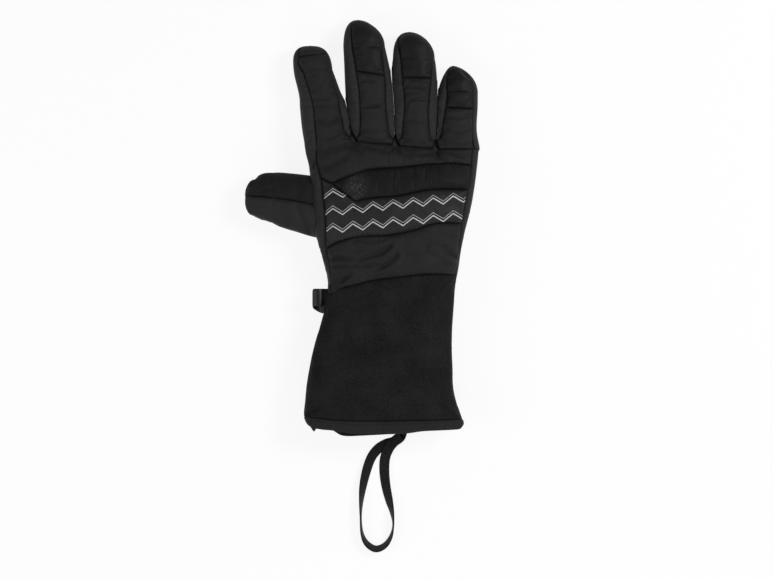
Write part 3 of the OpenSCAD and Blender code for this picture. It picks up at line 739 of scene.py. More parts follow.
def hand_grid():
    lines = (front_line, knuckle_line, band_line, print_line, cuff_line)
    back, left, palm, right = hand_counts
    even = np.arange(back + 1) / back
    share = np.sort(crowded(even, (np.abs(even - 0.5) * 2) ** 6))
    x = np.broadcast_to(52 - 100 * share, (sum(row_counts) + 1, back + 1))
    for _ in range(6):
        y = np.stack([row_places(lines, row_counts, column).diagonal() for column in x.T], axis=1)
        x = right_seam(y) * (1 - share) + left_seam(y) * share
    back_angle = hand_angle(x, y)
    palm_y = np.linspace(palm_front, palm_end, len(x))
    t = np.arange(1, left) / left
    left_y = y[:, -1:] * (1 - t) + palm_y[:, None] * t
    left_angle = back_angle[:, -1:] * (1 - t) + palm_left * t
    t = np.arange(0, palm + 1) / palm
    mid_y = np.repeat(palm_y[:, None], palm + 1, axis=1)
    mid_angle = np.repeat((palm_left * (1 - t) + palm_right * t)[None], len(x), axis=0)
    t = np.arange(1, right) / right
    right_y = palm_y[:, None] * (1 - t) + y[:, :1] * t
    right_angle = palm_right * (1 - t) + (back_angle[:, :1] + 2 * math.pi) * t
    y = np.concatenate([y, left_y, mid_y, right_y], axis=1)
    angle = np.concatenate([back_angle, left_angle, mid_angle, right_angle], axis=1)
    grid = hand_point(y, angle)
    x, y = grid[..., 0], grid[..., 1]
    reach = ease((y - (front_line(x) - 9)) / 9)
    side = np.where(np.sin(angle) > 0, 1, -1)
    proud = 0.05 + 0.3 * ease((x + 29) / 3)
    scallop = digit_top(x, np.maximum(y, 44.5), side) + proud * side
    between_fingers = (side > 0) & (x > crotch_span[0]) & (x < crotch_span[1])
    scallop = np.where(between_fingers, np.maximum(scallop, crotch_level), scallop)
    grid[..., 2] = grid[..., 2] * (1 - reach) + scallop * reach
    return grid, angle


def px(x, y):
    """Place on the glove of a point read off the photograph, which shows 0.68 mm in a pixel."""
    return ((x - 393) * 0.68, (215 - y) * 0.68)


def keep_apart(name, grid):
    """Flattens a finger's walls where it lies against its neighbours."""
    k = list(digits).index(name)
    y, z = grid[..., 1], grid[..., 2]
    for line, side in ((k - 1, -1), (k, 1)):
        if 0 <= line < len(between):
            together = 1 - ease((y - parting[line] + 9) / 11)
            place = between[line](y) + parting_tilt[line] * together * (z - 12)
            crotch = float(front_line(between[line](np.array(50.0))))
            least = parting_gap[line] + 2.6 * np.clip(1 - (y - crotch) / 7.5, 0, 1)
            if (name, line) == ("middle", 1):
                least = least + 0.9 * ease((y - 60) / 8) * (1 - ease((z - 4) / 5))
            reach = 0.4 + 2.4 * together + least
            gap = side * (place - grid[..., 0])
            share = np.clip(gap / reach, 0, 1)
            gap = np.where(gap < reach, least + (reach - least) * share ** 5, gap)
            grid[..., 0] = place - side * gap
    return grid


def hold_outline(shape, grid, axis):
    """Gives every ring the width in plan that it had before it was padded and sewn."""
    low, high = grid[..., axis].min(1, keepdims=True), grid[..., axis].max(1, keepdims=True)
    now_low, now_high = shape[..., axis].min(1, keepdims=True), shape[..., axis].max(1, keepdims=True)
    share = (shape[..., axis] - now_low) / np.maximum(now_high - now_low, 0.2)
    shape[..., axis] = low + share * (high - low)
    return shape


def crotch_leaf(k, palm=False):
    """Small gusset that closes the crotch between two fingers, on the back or on the palm."""
    line = between[k]
    start = 44.0 if palm else float(front_line(line(np.array(50.0)))) - 2.0
    s = np.linspace(0, 1, 17)[:, None]
    t = np.linspace(-1, 1, 13)[None]
    y = start + 9.5 * s + 0 * t
    x = line(y) + (4.0 * (1 - s) ** 0.8 + 0.15) * t
    z = 21.6 - 2.6 * s ** 1.2 - 1.8 * np.abs(t) ** 2.5 * (1 - 0.4 * s)
    if palm:
        y = start + 7.0 * s + 0 * t
        z = 27.0 - z
    return np.stack([x, y, z], axis=-1)


# Creases: a line in the photograph's pixels, a width and a depth
hand_folds = [
    ([(329, 260), (340, 258), (349, 259), (356, 261), (366, 257), (380, 253), (386, 249),
    (390, 246)], 1.7, 2.0), ([(331, 266), (351, 265), (368, 265), (381, 266), (388, 262), (394, 257),
    (397, 254)], 1.25, 1.7), ([(374, 270), (381, 268), (388, 265), (397, 257)], 1.4, 1.0),
    ([(330, 283), (335, 281), (343, 279), (350, 274)], 1.5, 1.3),
    ([(329, 291), (337, 286), (346, 278)], 1.4, 0.8),
    ([(430, 248), (440, 255), (458, 265)], 1.8, -1.3),
    ([(443, 247), (450, 253), (459, 260)], 1.6, 1.0),
    ([(402, 250), (412, 251), (424, 249)], 4.0, 0.9),
    ([(358, 244), (372, 247), (381, 245)], 2.0, -0.8),
    ([(318, 163), (332, 156), (346, 149)], 1.8, -1.1),
    ([(322, 169), (334, 165), (346, 158)], 1.7, 1.1),
    ([(353, 147), (356, 151), (362, 154)], 1.4, 1.0),
    ([(350, 147), (345, 150), (337, 152)], 1.4, 0.9),
    ([(366, 147), (372, 150), (384, 150)], 1.4, 0.9),
    ([(398, 151), (402, 155), (410, 158)], 1.4, 0.8),
    ([(394, 150), (388, 153), (380, 154)], 1.3, 0.7),
    ([(436, 153), (439, 157), (446, 160)], 1.4, 1.0),
    ([(433, 153), (427, 155), (419, 156)], 1.3, 0.8),
    ([(450, 153), (462, 156), (476, 154)], 1.5, 0.8),
    ([(404, 154), (416, 156), (428, 153)], 1.7, 0.5),
    ([(345, 225), (365, 222), (392, 224)], 4.0, 0.5),
    ([(400, 214), (425, 212), (455, 206)], 4.0, 0.45),
]


finger_folds = {
    "index": [
        ([(319, 157), (329, 152), (337, 147), (346, 141)], 2.0, 1.6),
        ([(299, 60), (312, 57), (327, 53)], 1.6, 0.9),
        ([(316, 118), (326, 122), (340, 116)], 2.6, 0.8),
        ([(318, 134), (330, 136), (346, 130)], 2.4, 0.8),
    ],
    "middle": [
        ([(360, 82), (366, 80), (372, 82)], 1.2, 0.9),
        ([(361, 106), (370, 107), (378, 105)], 1.3, 1.1),
        ([(362, 126), (374, 129), (388, 126)], 2.2, 0.7),
        ([(361, 143), (368, 140), (378, 142)], 1.7, 1.4),
        ([(356, 40), (366, 46), (380, 44)], 3.0, 0.35),
    ],
    "ring": [
        ([(403, 88), (408, 85), (413, 87), (418, 87), (427, 89)], 1.2, 1.3),
        ([(404, 81), (414, 80), (427, 82)], 1.6, 0.7),
        ([(407, 100), (416, 99), (426, 100)], 1.2, 1.2),
        ([(405, 106), (409, 102), (412, 101)], 1.1, 0.9),
        ([(406, 118), (416, 120), (428, 117)], 2.4, 0.6),
        ([(403, 141), (412, 142), (424, 145)], 1.6, 1.2),
        ([(402, 50), (414, 54), (430, 52)], 3.0, 0.3),
    ],
    "little": [
        ([(464, 73), (470, 78), (475, 85)], 1.5, 0.9),
        ([(446, 116), (458, 118), (472, 115)], 1.6, 0.9),
        ([(445, 128), (458, 131), (474, 128)], 2.0, 0.8),
        ([(443, 143), (456, 146), (474, 145)], 1.6, 1.3),
        ([(447, 88), (457, 92), (472, 90)], 2.6, 0.35),
    ],
}


# Thumb: (distance to the left, middle, half width, height of the middle, half height)
thumb_table = [
    (44, 4.4, 20.6, 14.2, 11.6), (55, 6.0, 20.8, 14.0, 11.8), (64.6, 7.6, 20.4, 13.8, 11.7),
    (77, 9.8, 19.3, 13.0, 11.0), (82, 10.8, 18.2, 12.6, 10.6),
]
thumb_tip = 100.8
thumb_counts = (40, 40)
thumb_start, thumb_under = 44, 300
thumb_seam = [(44, 88), (70, 88), (84, 88.3), (94.5, 86), (99, 82), (101, 78)]
thumb_folds = [
    ([(296, 207), (302, 220), (311, 235)], 2.2, 1.1),
    ([(246, 190), (256, 184), (270, 180)], 2.2, 0.8),
    ([(250, 196), (260, 190), (272, 188)], 1.8, 0.7),
    ([(258, 175), (262, 184), (264, 192)], 2.0, 0.6),
    ([(275, 174), (280, 184), (279, 194)], 2.6, 0.5),
    ([(296, 176), (300, 186), (298, 198)], 2.6, 0.5),
    ([(252, 205), (264, 210), (276, 212)], 2.4, 0.5),
    ([(276, 204), (284, 214), (286, 224)], 2.8, 0.45),
]
thumb_cut = curve([
    (-102, 0.6), (-98, 1.7), (-93.5, 3.8), (-87.4, 3.4), (-81, 1.9), (-72, 1.3), (-64, 0.9), (-54, 0.0),
    (-44, 0.0),
])


# Cuff, and its hem's profile: distances down and out
cuff_columns = (112, 64)
cuff_rows = 88
cuff_right, cuff_left = -16, 196
elastic_turns, elastic_places, elastic_lift = (205, 335), (-37, -29), 2.2
cuff_folds = [
    ([(345, 296), (350, 330), (347, 360)], 6.0, 0.7),
    ([(405, 300), (402, 340), (408, 385)], 7.0, 0.6),
    ([(335, 372), (360, 380), (392, 376)], 6.0, 0.5),
    ([(440, 330), (436, 365), (442, 400)], 6.0, 0.6),
    ([(318, 350), (330, 362), (336, 380)], 4.0, 0.6),
    ([(380, 395), (396, 402), (420, 400)], 5.0, 0.4),
]
hem_depth = 7.2
hem_stitched = 4
hem_profile = [
    (0, -0.9), (0.3, 0.0), (0.9, 0.35), (1.4, 0.4), (1.8, 0.2), (2.2, 0.4), (3.4, 0.45), (5.4, 0.35),
    (6.6, 0.1), (hem_depth, -0.7), (7.0, -1.7), (6.2, -2.4), (3, -2.9), (-4, -3.0),
]


# Palm patch: share of its outline, and level
patch_profile = [
    (0.02, 0.1), (0.4, 0.1), (0.8, 0.2), (0.93, 0.3), (0.98, 0.4), (1.0, 0.8), (0.985, 1.15), (0.9, 1.25),
]


# Seams, padding and lining: how far a seam's painted shade and the band held at it reach, how deep the
# layers lie, the two bodies and the soft zone at wrist and thumb, and where the hand's front edge and strip
# end
seam_shade_reach, held_reach = 0.55, 0.5
lining_inset, hand_padding, hand_lining = 3.2, 3.0, 5.4
at_wrist = ("hand", "cuff"), ((0, -28, 17), (0, -66, 17))
at_thumb = ("hand", "thumb"), ((-52, 6, 14), (-74, 6, 14))
index_edge, strip_level, lip_depth = -28, 17, 5.6
strip_end = [(-58.5, 28.6), (-56.4, 30.6), (-52.4, 37.4)]


def add_folds(grid, up, folds):
    """Creases along lines read off the photograph, given in its pixels with a width and a depth each."""
    total = np.zeros(grid.shape[:2])
    for line, width, depth in folds:
        total += fold(grid, [px(*spot) for spot in line], width, depth)
    return total * ease((up[..., 2] - 0.1) / 0.4)


def sewn(grid, up, distance, groove, puff, reach):
    """Moves a surface in at its seams and out between them; groove is a depth, or one for every point."""
    move = puff * (1 - np.exp(-distance / reach)) - 0.6 * groove * near(distance, 0.6)
    move -= 0.5 * groove * near(distance, 1.7)
    return grid + up * move[..., None]


def gathers(grid, up, middle, reach):
    """Small pleats on the palm side, where elastic draws the wrist in."""
    x, y = grid[..., 0], grid[..., 1]
    drawn = near(y - middle, reach) * ease((-up[..., 2] + 0.2) / 0.6)
    return drawn * (np.sin(x * 1.05 + 1.3 * np.sin(x * 0.31)) - 0.6)


def hand_pieces():
    grid, angle = hand_grid()
    up = normals(grid)
    x, y = grid[..., 0], grid[..., 1]
    back, left, palm, right = columns = hand_first[:4]
    rows = [(row, back, left) for row in row_first[1:4]]
    rows.append((len(grid) - 1, 0, grid.shape[1] - 1))
    front = np.linalg.norm(grid - grid[:1], axis=2)
    from_front = front + 30 * ease((index_edge - x) / 3)
    distance = np.minimum(seam_distance(grid, columns, rows), from_front)
    on_strip = np.zeros(distance.shape, bool)
    on_strip[:, left:palm] = grid[:, left:palm, 2] > strip_level
    distance = np.where(on_strip, np.minimum(distance, line_distance(grid, strip_end)), distance)
    held = (distance < held_reach) | (from_front < 1.5)
    swell = settle(grid, held, None, growth=0.04, pressure=4, limit=1.6)
    flush = ease(front / 10)
    swell = swell * (flush * (1 - 0.6 * sideways(up, 0)))[..., None]
    shape = sewn(grid + swell, up, distance, groove=1.15, puff=0.4 * flush, reach=3.5)
    from_rows = np.minimum(seam_distance(grid, [], rows), from_front)
    creased = (1 - near(seam_distance(grid, columns, []), 4)) * (1 - near(from_rows, 1.3))
    away = 1 - near(distance, 3)
    move = np.clip(add_folds(grid, up, hand_folds), -2.2, 0.8) * creased
    move += (ripple(grid, 3, size=34, height=0.55) + ripple(grid, 4, size=14, height=0.22)) * away
    move += 0.3 * np.sin(x * 1.9 + 2 * np.sin(x * 0.4)) * np.exp(-from_front / 4) * away
    move += 0.8 * gathers(grid, up, middle=-33, reach=11)
    ruck = near(y + 30, 10) * ease(up[..., 2] / 0.5)
    move += 0.2 * ruck * creased * np.sin(y * 0.75 + 0.05 * x + np.sin(x * 0.12) * 1.8)
    shape = rest_on(hold_outline(shape + up * move[..., None], grid, 0), 1.25)
    wrap, wrap_up = closed(shape), closed(normals(shape))
    # Painted shade at the seams, with a fifth of it on the lip
    shade = closed(near(distance, seam_shade_reach))
    lip = wrap[:1] - wrap_up[:1] * lip_depth + np.array([0, 0.5, 0])
    lipped, lip_shade = np.concatenate([lip, wrap]), np.concatenate([0.2 * shade[:1], shade])
    front_row, knuckle_row, band_row, print_row, cuff_row = row_first
    panels = [
        ("knuckle_panel", front_row, knuckle_row, back, left, softshell, "softshell"),
        ("knuckle_band", knuckle_row, band_row, back, left, knuckle_gloss, "knuckle_gloss"),
        ("print_panel", band_row, print_row, back, left, printed, "softshell"),
        ("wrist_panel", print_row, cuff_row, back, left, softshell, "softshell"),
        ("index_side_strip", front_row, cuff_row, left, palm, walls_painted_lighter, "softshell"),
        ("palm_panel", front_row, cuff_row, palm, right, palm_leather, "synthetic_leather"),
        ("little_side_strip", front_row, cuff_row, right, wrap.shape[1] - 1, walls_painted_lighter, "softshell"),
    ]
    for node, low, high, c0, c1, material, slot_name in panels:
        # Row 0 of the lipped surface is the lip, which belongs to the panels at the front
        start = low + 1 if low else 0
        cut = np.s_[start:high + 2, c0:c1 + 1]
        cloth = Cloth().grid(lipped[cut], shade=lip_shade[cut])
        materials = [material, thread]
        if node == "knuckle_panel":
            line = np.s_[high - 3, c0 + 2:c1 - 1]
            cloth.stitches(wrap[line], wrap_up[line], length=2.1, gap=0.9, radius=0.22)
        if node in ("knuckle_panel", "palm_panel"):
            materials.append(walls_painted_lighter)
            for k in range(len(between)):
                cloth.grid(crotch_leaf(k, node == "palm_panel"), 2)
        if high == cuff_row:
            cloth.sew(node, materials, slot_name, *at_wrist)
        else:
            cloth.sew(node, materials, slot_name, "hand")
    # Padding and lining start behind the front edge, on every third row and column
    keep = np.s_[14::3, ::3]
    cloth = Cloth().grid((grid - up * hand_padding)[keep], ring=True)
    padding = cloth.sew("hand_insulation", [wadding], "insulation", *at_wrist)
    cloth = Cloth().grid((grid - up * hand_lining)[keep], ring=True, flip=True)
    cloth.sew("hand_lining", [fleece], "fleece", *at_wrist)
    return padding, angle[-1], grid[-1, :, 1]


wadding_piece, rim_angle, rim_y = hand_pieces()


def finger_rows(digit):
    """Distances along the glove of a finger's rows: closer together at its cap's seam and round its tip."""
    dome = digit["table"][-1][0]
    first = float(front_line(np.array([digit["table"][1][1]]))[0]) - finger_root
    at_cap = digit["cap"] + np.array([-0.7, -0.35, 0, 0.35, 0.7])
    straight = np.sort(np.concatenate([np.arange(first, dome, 0.95), at_cap]))
    straight = straight[straight < dome - 0.1]
    straight = straight[np.concatenate([[True], np.diff(straight) > 0.15])]
    return np.concatenate([straight, round_rows(dome, digit["top"], 20)])


def finger_grid(name, places):
    """Bare surface of a finger, with the angles and the sections that it was made from."""
    digit = digits[name]
    dome, top, first = digit["table"][-1][0], digit["top"], places[0]
    square = digit_square - 0.4 * ease((places - dome + 6) / (top - dome + 6))
    right, left = (angle_of(curve(digit[side])(places), square) for side in ("right", "left"))
    palm_left, palm_right = (np.full(len(places), math.radians(v)) for v in finger_palm)
    back_count, left_count, palm_count, right_count = finger_columns
    angle = fill(
        right, back_count, left, left_count, palm_left, palm_count, palm_right, right_count,
        right + 2 * math.pi,
    )
    lean = digit["tilt"] * near(places - digit["cap"], 16) * (places < top - 0.5)
    y = places[:, None] + lean[:, None] * np.cos(angle) * np.clip((top - places) / 8, 0, 1)[:, None]
    section = middle, wide, level, high = digit_section(digit)(y)
    root = digit["root"] * (1 - ease((y - first - 2.5) / 4.5)) + 0.8 * (1 - ease((y - first) / 6.3))
    x = middle + (wide - root) * power(np.cos(angle), 2 / square[:, None])
    z = level + (high - root) * power(np.sin(angle), 2 / square[:, None])
    return keep_apart(name, np.stack([x, y, z], axis=-1)), angle, section


def inset(section, angle):
    """Places across and heights of a lining that lies inside a digit's sections."""
    middle, wide, level, high = section
    across = middle + np.maximum(wide - lining_inset, 0.1) * power(np.cos(angle), 2 / digit_square)
    return across, level + np.maximum(high - lining_inset, 0.1) * power(np.sin(angle), 2 / digit_square)


def finger_pieces(name, seed):
    digit = digits[name]
    top = digit["top"]
    places = finger_rows(digit)
    cut_row, cap_row = (int(np.argmin(np.abs(places - digit[key]))) for key in ("cut", "cap"))
    back, left, palm, right = finger_first
    grid, angle, section = finger_grid(name, places)
    x, y = grid[..., 0], grid[..., 1]
    end_middle, end_level = section[0][-1].mean(), section[2][-1].mean()
    up = -normals(grid)
    distance = seam_distance(grid, finger_first, [(cap_row, back, left)])
    from_base = y - front_line(x)
    if name != "index":
        distance = np.minimum(distance, np.maximum(from_base, 0))
    held = (distance < held_reach) | (from_base < 2)
    end = np.array([end_middle, top, 11])
    swell = settle(grid, held, end, growth=0.05, pressure=5, limit=0.9, flip=True)
    swell = swell * (ease((top - y) / 12) * (1 - 0.75 * sideways(up, 0)))[..., None]
    blunt = ease((top - y) / 5)
    shape = sewn(grid + swell, up, distance, groove=0.15 + 0.85 * blunt, puff=0.2 * blunt, reach=3.0)
    move = ripple(grid, seed, size=26, height=0.3) + ripple(grid, seed + 40, size=9, height=0.16)
    move += add_folds(grid, up, finger_folds[name])
    move += 0.3 * np.sin(x * 1.9 + seed) * np.exp(-np.maximum(from_base, 0) / 4) * ease(up[..., 2] / 0.5)
    move = np.where(np.abs(up[..., 0]) > 0.6, np.minimum(move, 0.0) * 0.5, move)
    move = move * (1 - near(distance, 2.2)) * blunt
    shape = rest_on(keep_apart(name, hold_outline(shape + up * move[..., None], grid, 0)), 0.5)
    tip = np.array([end_middle, top + 0.1, end_level])
    wrap, wrap_up = closed(shape), closed(-normals(shape))
    # Painted shade at the seams
    shade = closed(near(distance, seam_shade_reach))
    axis = joint_at[name + "_knuckle"][0]
    base, front = name + "_base", name + "_tip"
    lower = ("hand", base), [(axis, place, finger_level) for place in digit["knuckle"]]
    upper = (base, front), [(axis, place, finger_level) for place in digit["middle"]]
    last = len(wrap) - 1
    cap_cloth = softshell if name == "index" else cap_leather
    sides = [(left, palm), (right, wrap.shape[1] - 1)]
    panels = [
        (base + "_back", 0, cut_row, [(back, left)], softshell, "softshell", lower),
        (base + "_palm", 0, cut_row, [(palm, right)], palm_leather, "synthetic_leather", lower),
        (base + "_sides", 0, cut_row, sides, walls_painted_lighter, "softshell", lower),
        (front + "_back", cut_row, cap_row, [(back, left)], softshell, "softshell", upper),
        (front + "_cap", cap_row, last, [(back, left)], cap_cloth, "synthetic_leather", upper),
        (front + "_palm", cut_row, last, [(palm, right)], palm_leather, "synthetic_leather", upper),
        (front + "_sides", cut_row, last, sides, walls_painted_lighter, "softshell", upper),
    ]
    for node, low, high, spans, material, slot_name, follow in panels:
        cloth = Cloth()
        for c0, c1 in spans:
            cut = np.s_[low:high + 1, c0:c1 + 1]
            cloth.grid(wrap[cut], flip=True, tip=tip if high == last else None, shade=shade[cut])
        if node.endswith("_cap") and name != "index":
            for row in (cap_row + 4, cap_row + 6):
                line = np.s_[row, back + 1:left]
                cloth.stitches(wrap[line], wrap_up[line], length=1.6, gap=0.8, radius=0.2)
        cloth.sew(node, [material, thread], slot_name, *follow)
    across, z = inset(section, angle)
    lining = np.stack([across, np.minimum(y, top - lining_inset), z], axis=-1)[:, ::3]
    halves = (base, np.s_[:cut_row + 1:3], lower), (front, np.s_[cut_row - cut_row % 3::3], upper)
    for half, rows, follow in halves:
        cloth = Cloth().grid(lining[rows], ring=True, flip=True)
        cloth.sew(half + "_lining", [fleece], "fleece", *follow)


for seed, name in enumerate(digits):
    finger_pieces(name, 11 + seed)


def palm_height(x, y):
    """Height of the palm's underside at a place."""
    left, right, low, top = hand_table(y)
    share = np.clip((x - (left + right) / 2) / ((right - left) / 2), -1, 1)
    return (low + top) / 2 - (top - low) / 2 * (1 - np.abs(share) ** hand_square) ** (1 / hand_square)


def thumb_pieces():
    dome = thumb_table[-1][0]
    places = np.concatenate([np.arange(thumb_start, dome, 1.0), round_rows(dome, thumb_tip, 16)])
    middle, wide, level, high = (v[:, None] for v in curve(thumb_table)(np.minimum(places, dome)))
    s = np.clip((places - dome) / (thumb_tip - dome), 0, 1)[:, None]
    wide = wide * (1 - s ** 2.4) ** (1 / 2.4)
    high = high * (1 - s ** 2.2) ** (1 / 2.2)
    first, second = thumb_counts
    seam = np.radians(np.interp(places, *zip(*thumb_seam)))
    under = np.full(len(places), math.radians(thumb_under))
    angle = fill(seam, first, under, second, seam + 2 * math.pi)
    x = np.repeat(-places[:, None], angle.shape[1], axis=1)
    y = middle + wide * power(np.cos(angle), 2 / digit_square)
    y = y - 1.7 * near(x + 93.6, 2.2) * ease((y - middle - 4) / 8)
    y = y + thumb_cut(x) * ease((middle - y - 1) / 10)
    z = level + high * power(np.sin(angle), 2 / digit_square)
    grid = np.stack([x, y, z], axis=-1)
    up = -normals(grid)
    distance = seam_distance(grid, [0, first], [])
    held = (distance < held_reach) | (x > -52)
    end = np.array([-thumb_tip, middle[-1, 0], 12])
    swell = settle(grid, held, end, growth=0.05, pressure=5, limit=0.9, flip=True)
    swell = swell * (ease((thumb_tip + x) / 12) * (1 - 0.7 * sideways(up, 1)))[..., None]
    blunt = ease((thumb_tip + x) / 5)
    shape = sewn(grid + swell, up, distance, groove=0.1 + 0.75 * blunt, puff=0.2 * blunt, reach=3.0)
    bumps = ease((places - 72) / 16)[:, None]
    move = ripple(grid, 31, size=26, height=0.3) + ripple(grid, 32, size=9, height=0.14) * (0.6 + bumps)
    move = (move + add_folds(grid, up, thumb_folds)) * (1 - near(distance, 2.5))
    shape = rest_on(hold_outline(shape + up * move[..., None], grid, 1), 1.3)
    lift = np.maximum(palm_height(-46, shape[..., 1]) + 1.8 - shape[..., 2], 0)
    shape[..., 2] += lift * ease((shape[..., 0] + 62) / 15)
    tip = np.array([-thumb_tip - 0.1, middle[-1, 0], level[-1, 0]])
    # Painted shade at the seam between the thumb's panels
    wrap, shade = closed(shape), closed(near(distance, seam_shade_reach))
    panels = [
        ("thumb_outer_panel", np.s_[:, :first + 1], thumb_shell, "softshell"),
        ("thumb_inner_panel", np.s_[:, first:], thumb_cloth, "synthetic_leather"),
    ]
    for node, cut, material, slot_name in panels:
        cloth = Cloth().grid(wrap[cut], tip=tip, flip=True, shade=shade[cut])
        cloth.sew(node, [material], slot_name, *at_thumb)
    across, z = inset((middle, wide, level, high), angle)
    lining = np.stack([np.maximum(x, lining_inset - thumb_tip), across, z], axis=-1)[::3, ::3]
    Cloth().grid(lining, ring=True).sew("thumb_lining", [fleece], "fleece", *at_thumb)


thumb_pieces()


def cuff_pieces():
    back, palm = cuff_columns
    on_back = cuff_right + (cuff_left - cuff_right) * np.arange(back) / back
    on_palm = cuff_left + (360 + cuff_right - cuff_left) * np.arange(palm) / palm
    turn = np.radians(np.concatenate([on_back, on_palm]))
    top = np.interp(turn, rim_angle, rim_y, period=2 * math.pi)
    x = hand_point(np.full(len(turn), -139.0), turn)[:, 0]
    bottom = hem_line(x)
    t = crowded(np.arange(cuff_rows + 1) / cuff_rows)[:, None]
    y = top[None] * (1 - t) + bottom[None] * t
    grid = hand_point(y, np.repeat(turn[None], cuff_rows + 1, axis=0))
    up = normals(grid)
    distance = seam_distance(grid, [0, back], [(row, 0, grid.shape[1] - 1) for row in (0, cuff_rows)])
    swell = settle(grid, distance < held_reach, None, growth=0.02, pressure=2, limit=1.2)
    shape = sewn(grid + swell, up, distance, groove=np.where(t > 0.5, 0.6, 1.1), puff=0.2, reach=3.0)
    away = 1 - near(distance, 4)
    move = ripple(grid, 51, size=48, height=0.6) + ripple(grid, 52, size=20, height=0.22)
    move = (move + add_folds(grid, up, cuff_folds)) * away
    move += 0.7 * gathers(grid, up, middle=-52, reach=12) * away
    shape = rest_on(hold_outline(shape + up * move[..., None], grid, 0), 1.25)
    # Painted shade at the cuff's seams
    wrap, shade = closed(shape), closed(near(distance, seam_shade_reach))
    panels = ("cuff_back", np.s_[:, :back + 1], [knit, thread]), ("cuff_palm", np.s_[:, back:], [knit])
    for node, cut, materials in panels:
        cloth = Cloth().grid(wrap[cut], shade=shade[cut])
        cloth.sew(node, materials, "cuff_knit", *at_wrist)

    under = ease((np.sin(-turn) - 0.1) / 0.3)
    length = bottom - (hem_end(x) * (1 - under) + hem_under(x) * under)
    hem = np.stack([
        hand_point(bottom - down / hem_depth * length, turn) + up[-1] * out for down, out in hem_profile
    ])
    hem_up = normals(rest_on(hem, 0.7))
    hem_wrap = closed(hem)
    # Painted shade in the seam at the hem's top edge and along its stitch line
    hem_shade = np.zeros(hem_wrap.shape[:2])
    hem_shade[0] = 0.7
    hem_shade[hem_stitched] = 0.55
    cloth = Cloth().grid(hem_wrap[:, :back + 1], shade=hem_shade[:, :back + 1])
    cloth.grid(hem_wrap[:, back:], 2)
    line = np.s_[hem_stitched, 10:back - 9]
    cloth.stitches(hem[line], hem_up[line], length=2.0, gap=1.0, radius=0.24)
    cloth.sew("hem_binding", [hem_cloth, thread, knit], "cuff_knit", "cuff")

    cloth = Cloth().grid((grid - up * lining_inset)[::4, ::3], ring=True, flip=True)
    cloth.sew("cuff_lining", [fleece], "fleece", *at_wrist)
    span = np.radians(np.linspace(*elastic_turns, 60))
    band = np.stack([hand_point(np.full(60, place), span) for place in np.linspace(*elastic_places, 7)])
    band[..., 2] += elastic_lift
    Cloth().grid(band).sew("wrist_elastic", [elastic_cloth], "elastic", *at_wrist)


cuff_pieces()


def patch_piece():
    """Flat reinforcing patch of the palm, with rounded corners and a sewn edge."""
    low, high = (np.array(v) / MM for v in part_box("palm_patch"))
    middle, half = (low + high) / 2, (high - low) / 2
    turn = np.linspace(0, 2 * math.pi, 97)[:-1]
    outline = np.stack([half[0] * power(np.cos(turn), 0.5), half[1] * power(np.sin(turn), 0.5)], axis=1)
    rings = []
    for share, z in patch_profile:
        x, y = (middle[:2] + outline * share).T
        rings.append(np.stack([x, y, 0 * turn + z], axis=1))
    cloth = Cloth().grid(np.stack(rings[::-1]), ring=True, tip=np.array([middle[0], middle[1], 0.1]))
    line = np.concatenate([rings[3], rings[3][:1]])
    down = np.repeat([[0, 0, -1.0]], len(line), axis=0)
    cloth.stitches(line, down, length=2.2, gap=0.9, radius=0.18)
    cloth.sew("palm_patch", [palm_leather, thread], "synthetic_leather", "hand")


patch_piece()


def clip_piece():
    """Folded glossy tape with an eye, sewn into the seam at the thumb side."""
    out, along, upward = np.array([[-1.0, 0, 0], [0, 1.0, 0], [0, 0, 1.0]])
    eye, reach, thick, half = 2.9, 3.0, 0.5, 5.9
    turn = np.radians(np.linspace(-150, 150, 61))
    root = [(-4.2, 0.62), (-2.2, 0.64), (-0.8, 0.7), (0.2, 0.95)]
    path = [(x, -z) for x, z in root]
    path += [(reach + 1.2 * eye * math.cos(a), eye * math.sin(a)) for a in turn]
    path = np.array(path + root[::-1])
    forward = np.gradient(path, axis=0)
    forward /= np.linalg.norm(forward, axis=1, keepdims=True)
    side = np.stack([-forward[:, 1], forward[:, 0]], axis=1)
    drift = -5.0 * (1 - ease(np.linspace(0, 1, len(path)) * 1.7 - 0.1))[:, None]
    rings = []
    for a in np.linspace(0, 2 * math.pi, 33)[:-1]:
        flat = path + side * thick * power(math.sin(a), 0.6)
        wide = half * power(math.cos(a), 0.4) + 2.0 + drift
        rings.append(joint_at["clip_flap"] + flat[:, :1] * out + flat[:, 1:] * upward + wide * along)
    cloth = Cloth().grid(np.stack(rings, axis=1), ring=True)
    cloth.sew("clip_loop", [clip_tape], "clip_tape", "clip_loop")


clip_piece()


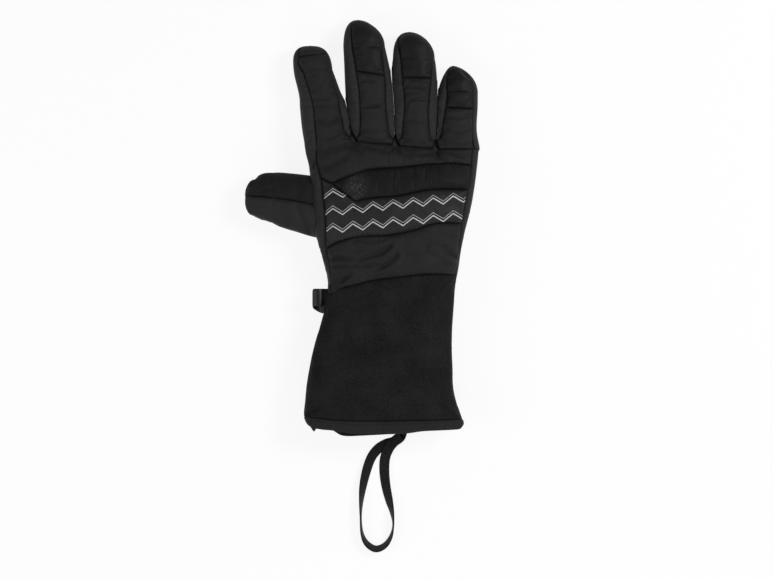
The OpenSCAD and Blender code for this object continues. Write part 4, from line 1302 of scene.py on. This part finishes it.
# Floor, soft studio light and a white surround, in metres
def floor_material():
    look = Shading("floor_white")
    look.finish({"Base Color": (0.9, 0.9, 0.9, 1), "Roughness": 0.9})
    glow = look.add("Emission", {"Strength": 1.0})
    path = look.add("LightPath", {}).outputs
    seen = look.maths("MAXIMUM", path["Is Camera Ray"], path["Is Glossy Ray"])
    seen = look.maths("MAXIMUM", seen, path["Is Transmission Ray"])
    share = look.maths("MULTIPLY", seen, 0.88)
    mixed = look.add("MixShader", {0: share, 1: look.shader.outputs[0], 2: glow.outputs[0]})
    look.put(look.nodes["Material Output"].inputs["Surface"], mixed.outputs[0])
    return look.material


floor_half = 4.0
corners = [(x * floor_half, y * floor_half, 0) for x, y in ((-1, -1), (1, -1), (1, 1), (-1, 1))]
floor_mesh = bpy.data.meshes.new("floor")
floor_mesh.from_pydata(corners, [], [(0, 1, 2, 3)])
floor_mesh.materials.append(floor_material())
floor = bpy.data.objects.new("floor", floor_mesh)
bpy.context.scene.collection.objects.link(floor)

world = bpy.data.worlds.new("studio")
bpy.context.scene.world = world
world.use_nodes = True
sky_nodes, sky_links = world.node_tree.nodes, world.node_tree.links
sky = sky_nodes["Background"]
ray = sky_nodes.new("ShaderNodeLightPath")
sky_level = sky_nodes.new("ShaderNodeMapRange")
sky_level.inputs["To Min"].default_value = 0.23
sky_level.inputs["To Max"].default_value = 1.0
sky_links.new(ray.outputs["Is Camera Ray"], sky_level.inputs["Value"])
sky_links.new(sky_level.outputs[0], sky.inputs["Strength"])
sky.inputs["Color"].default_value = (1, 1, 1, 1)


def lamp(name, where, size, watts):
    data = bpy.data.lights.new(name, "AREA")
    data.shape = "DISK"
    data.size = size
    data.energy = watts
    item = bpy.data.objects.new(name, data)
    item.location = where
    item.rotation_mode = "QUATERNION"
    item.rotation_quaternion = (Vector((0, 0, 0)) - Vector(where)).to_track_quat("-Z", "Y")
    bpy.context.scene.collection.objects.link(item)


lamp("key", (0.9, 0.3, 1.0), 0.5, 11.4)
lamp("fill", (-1.0, -0.3, 0.8), 0.8, 5.4)
lamp("front", (0.1, -1.1, 0.8), 0.7, 4.6)
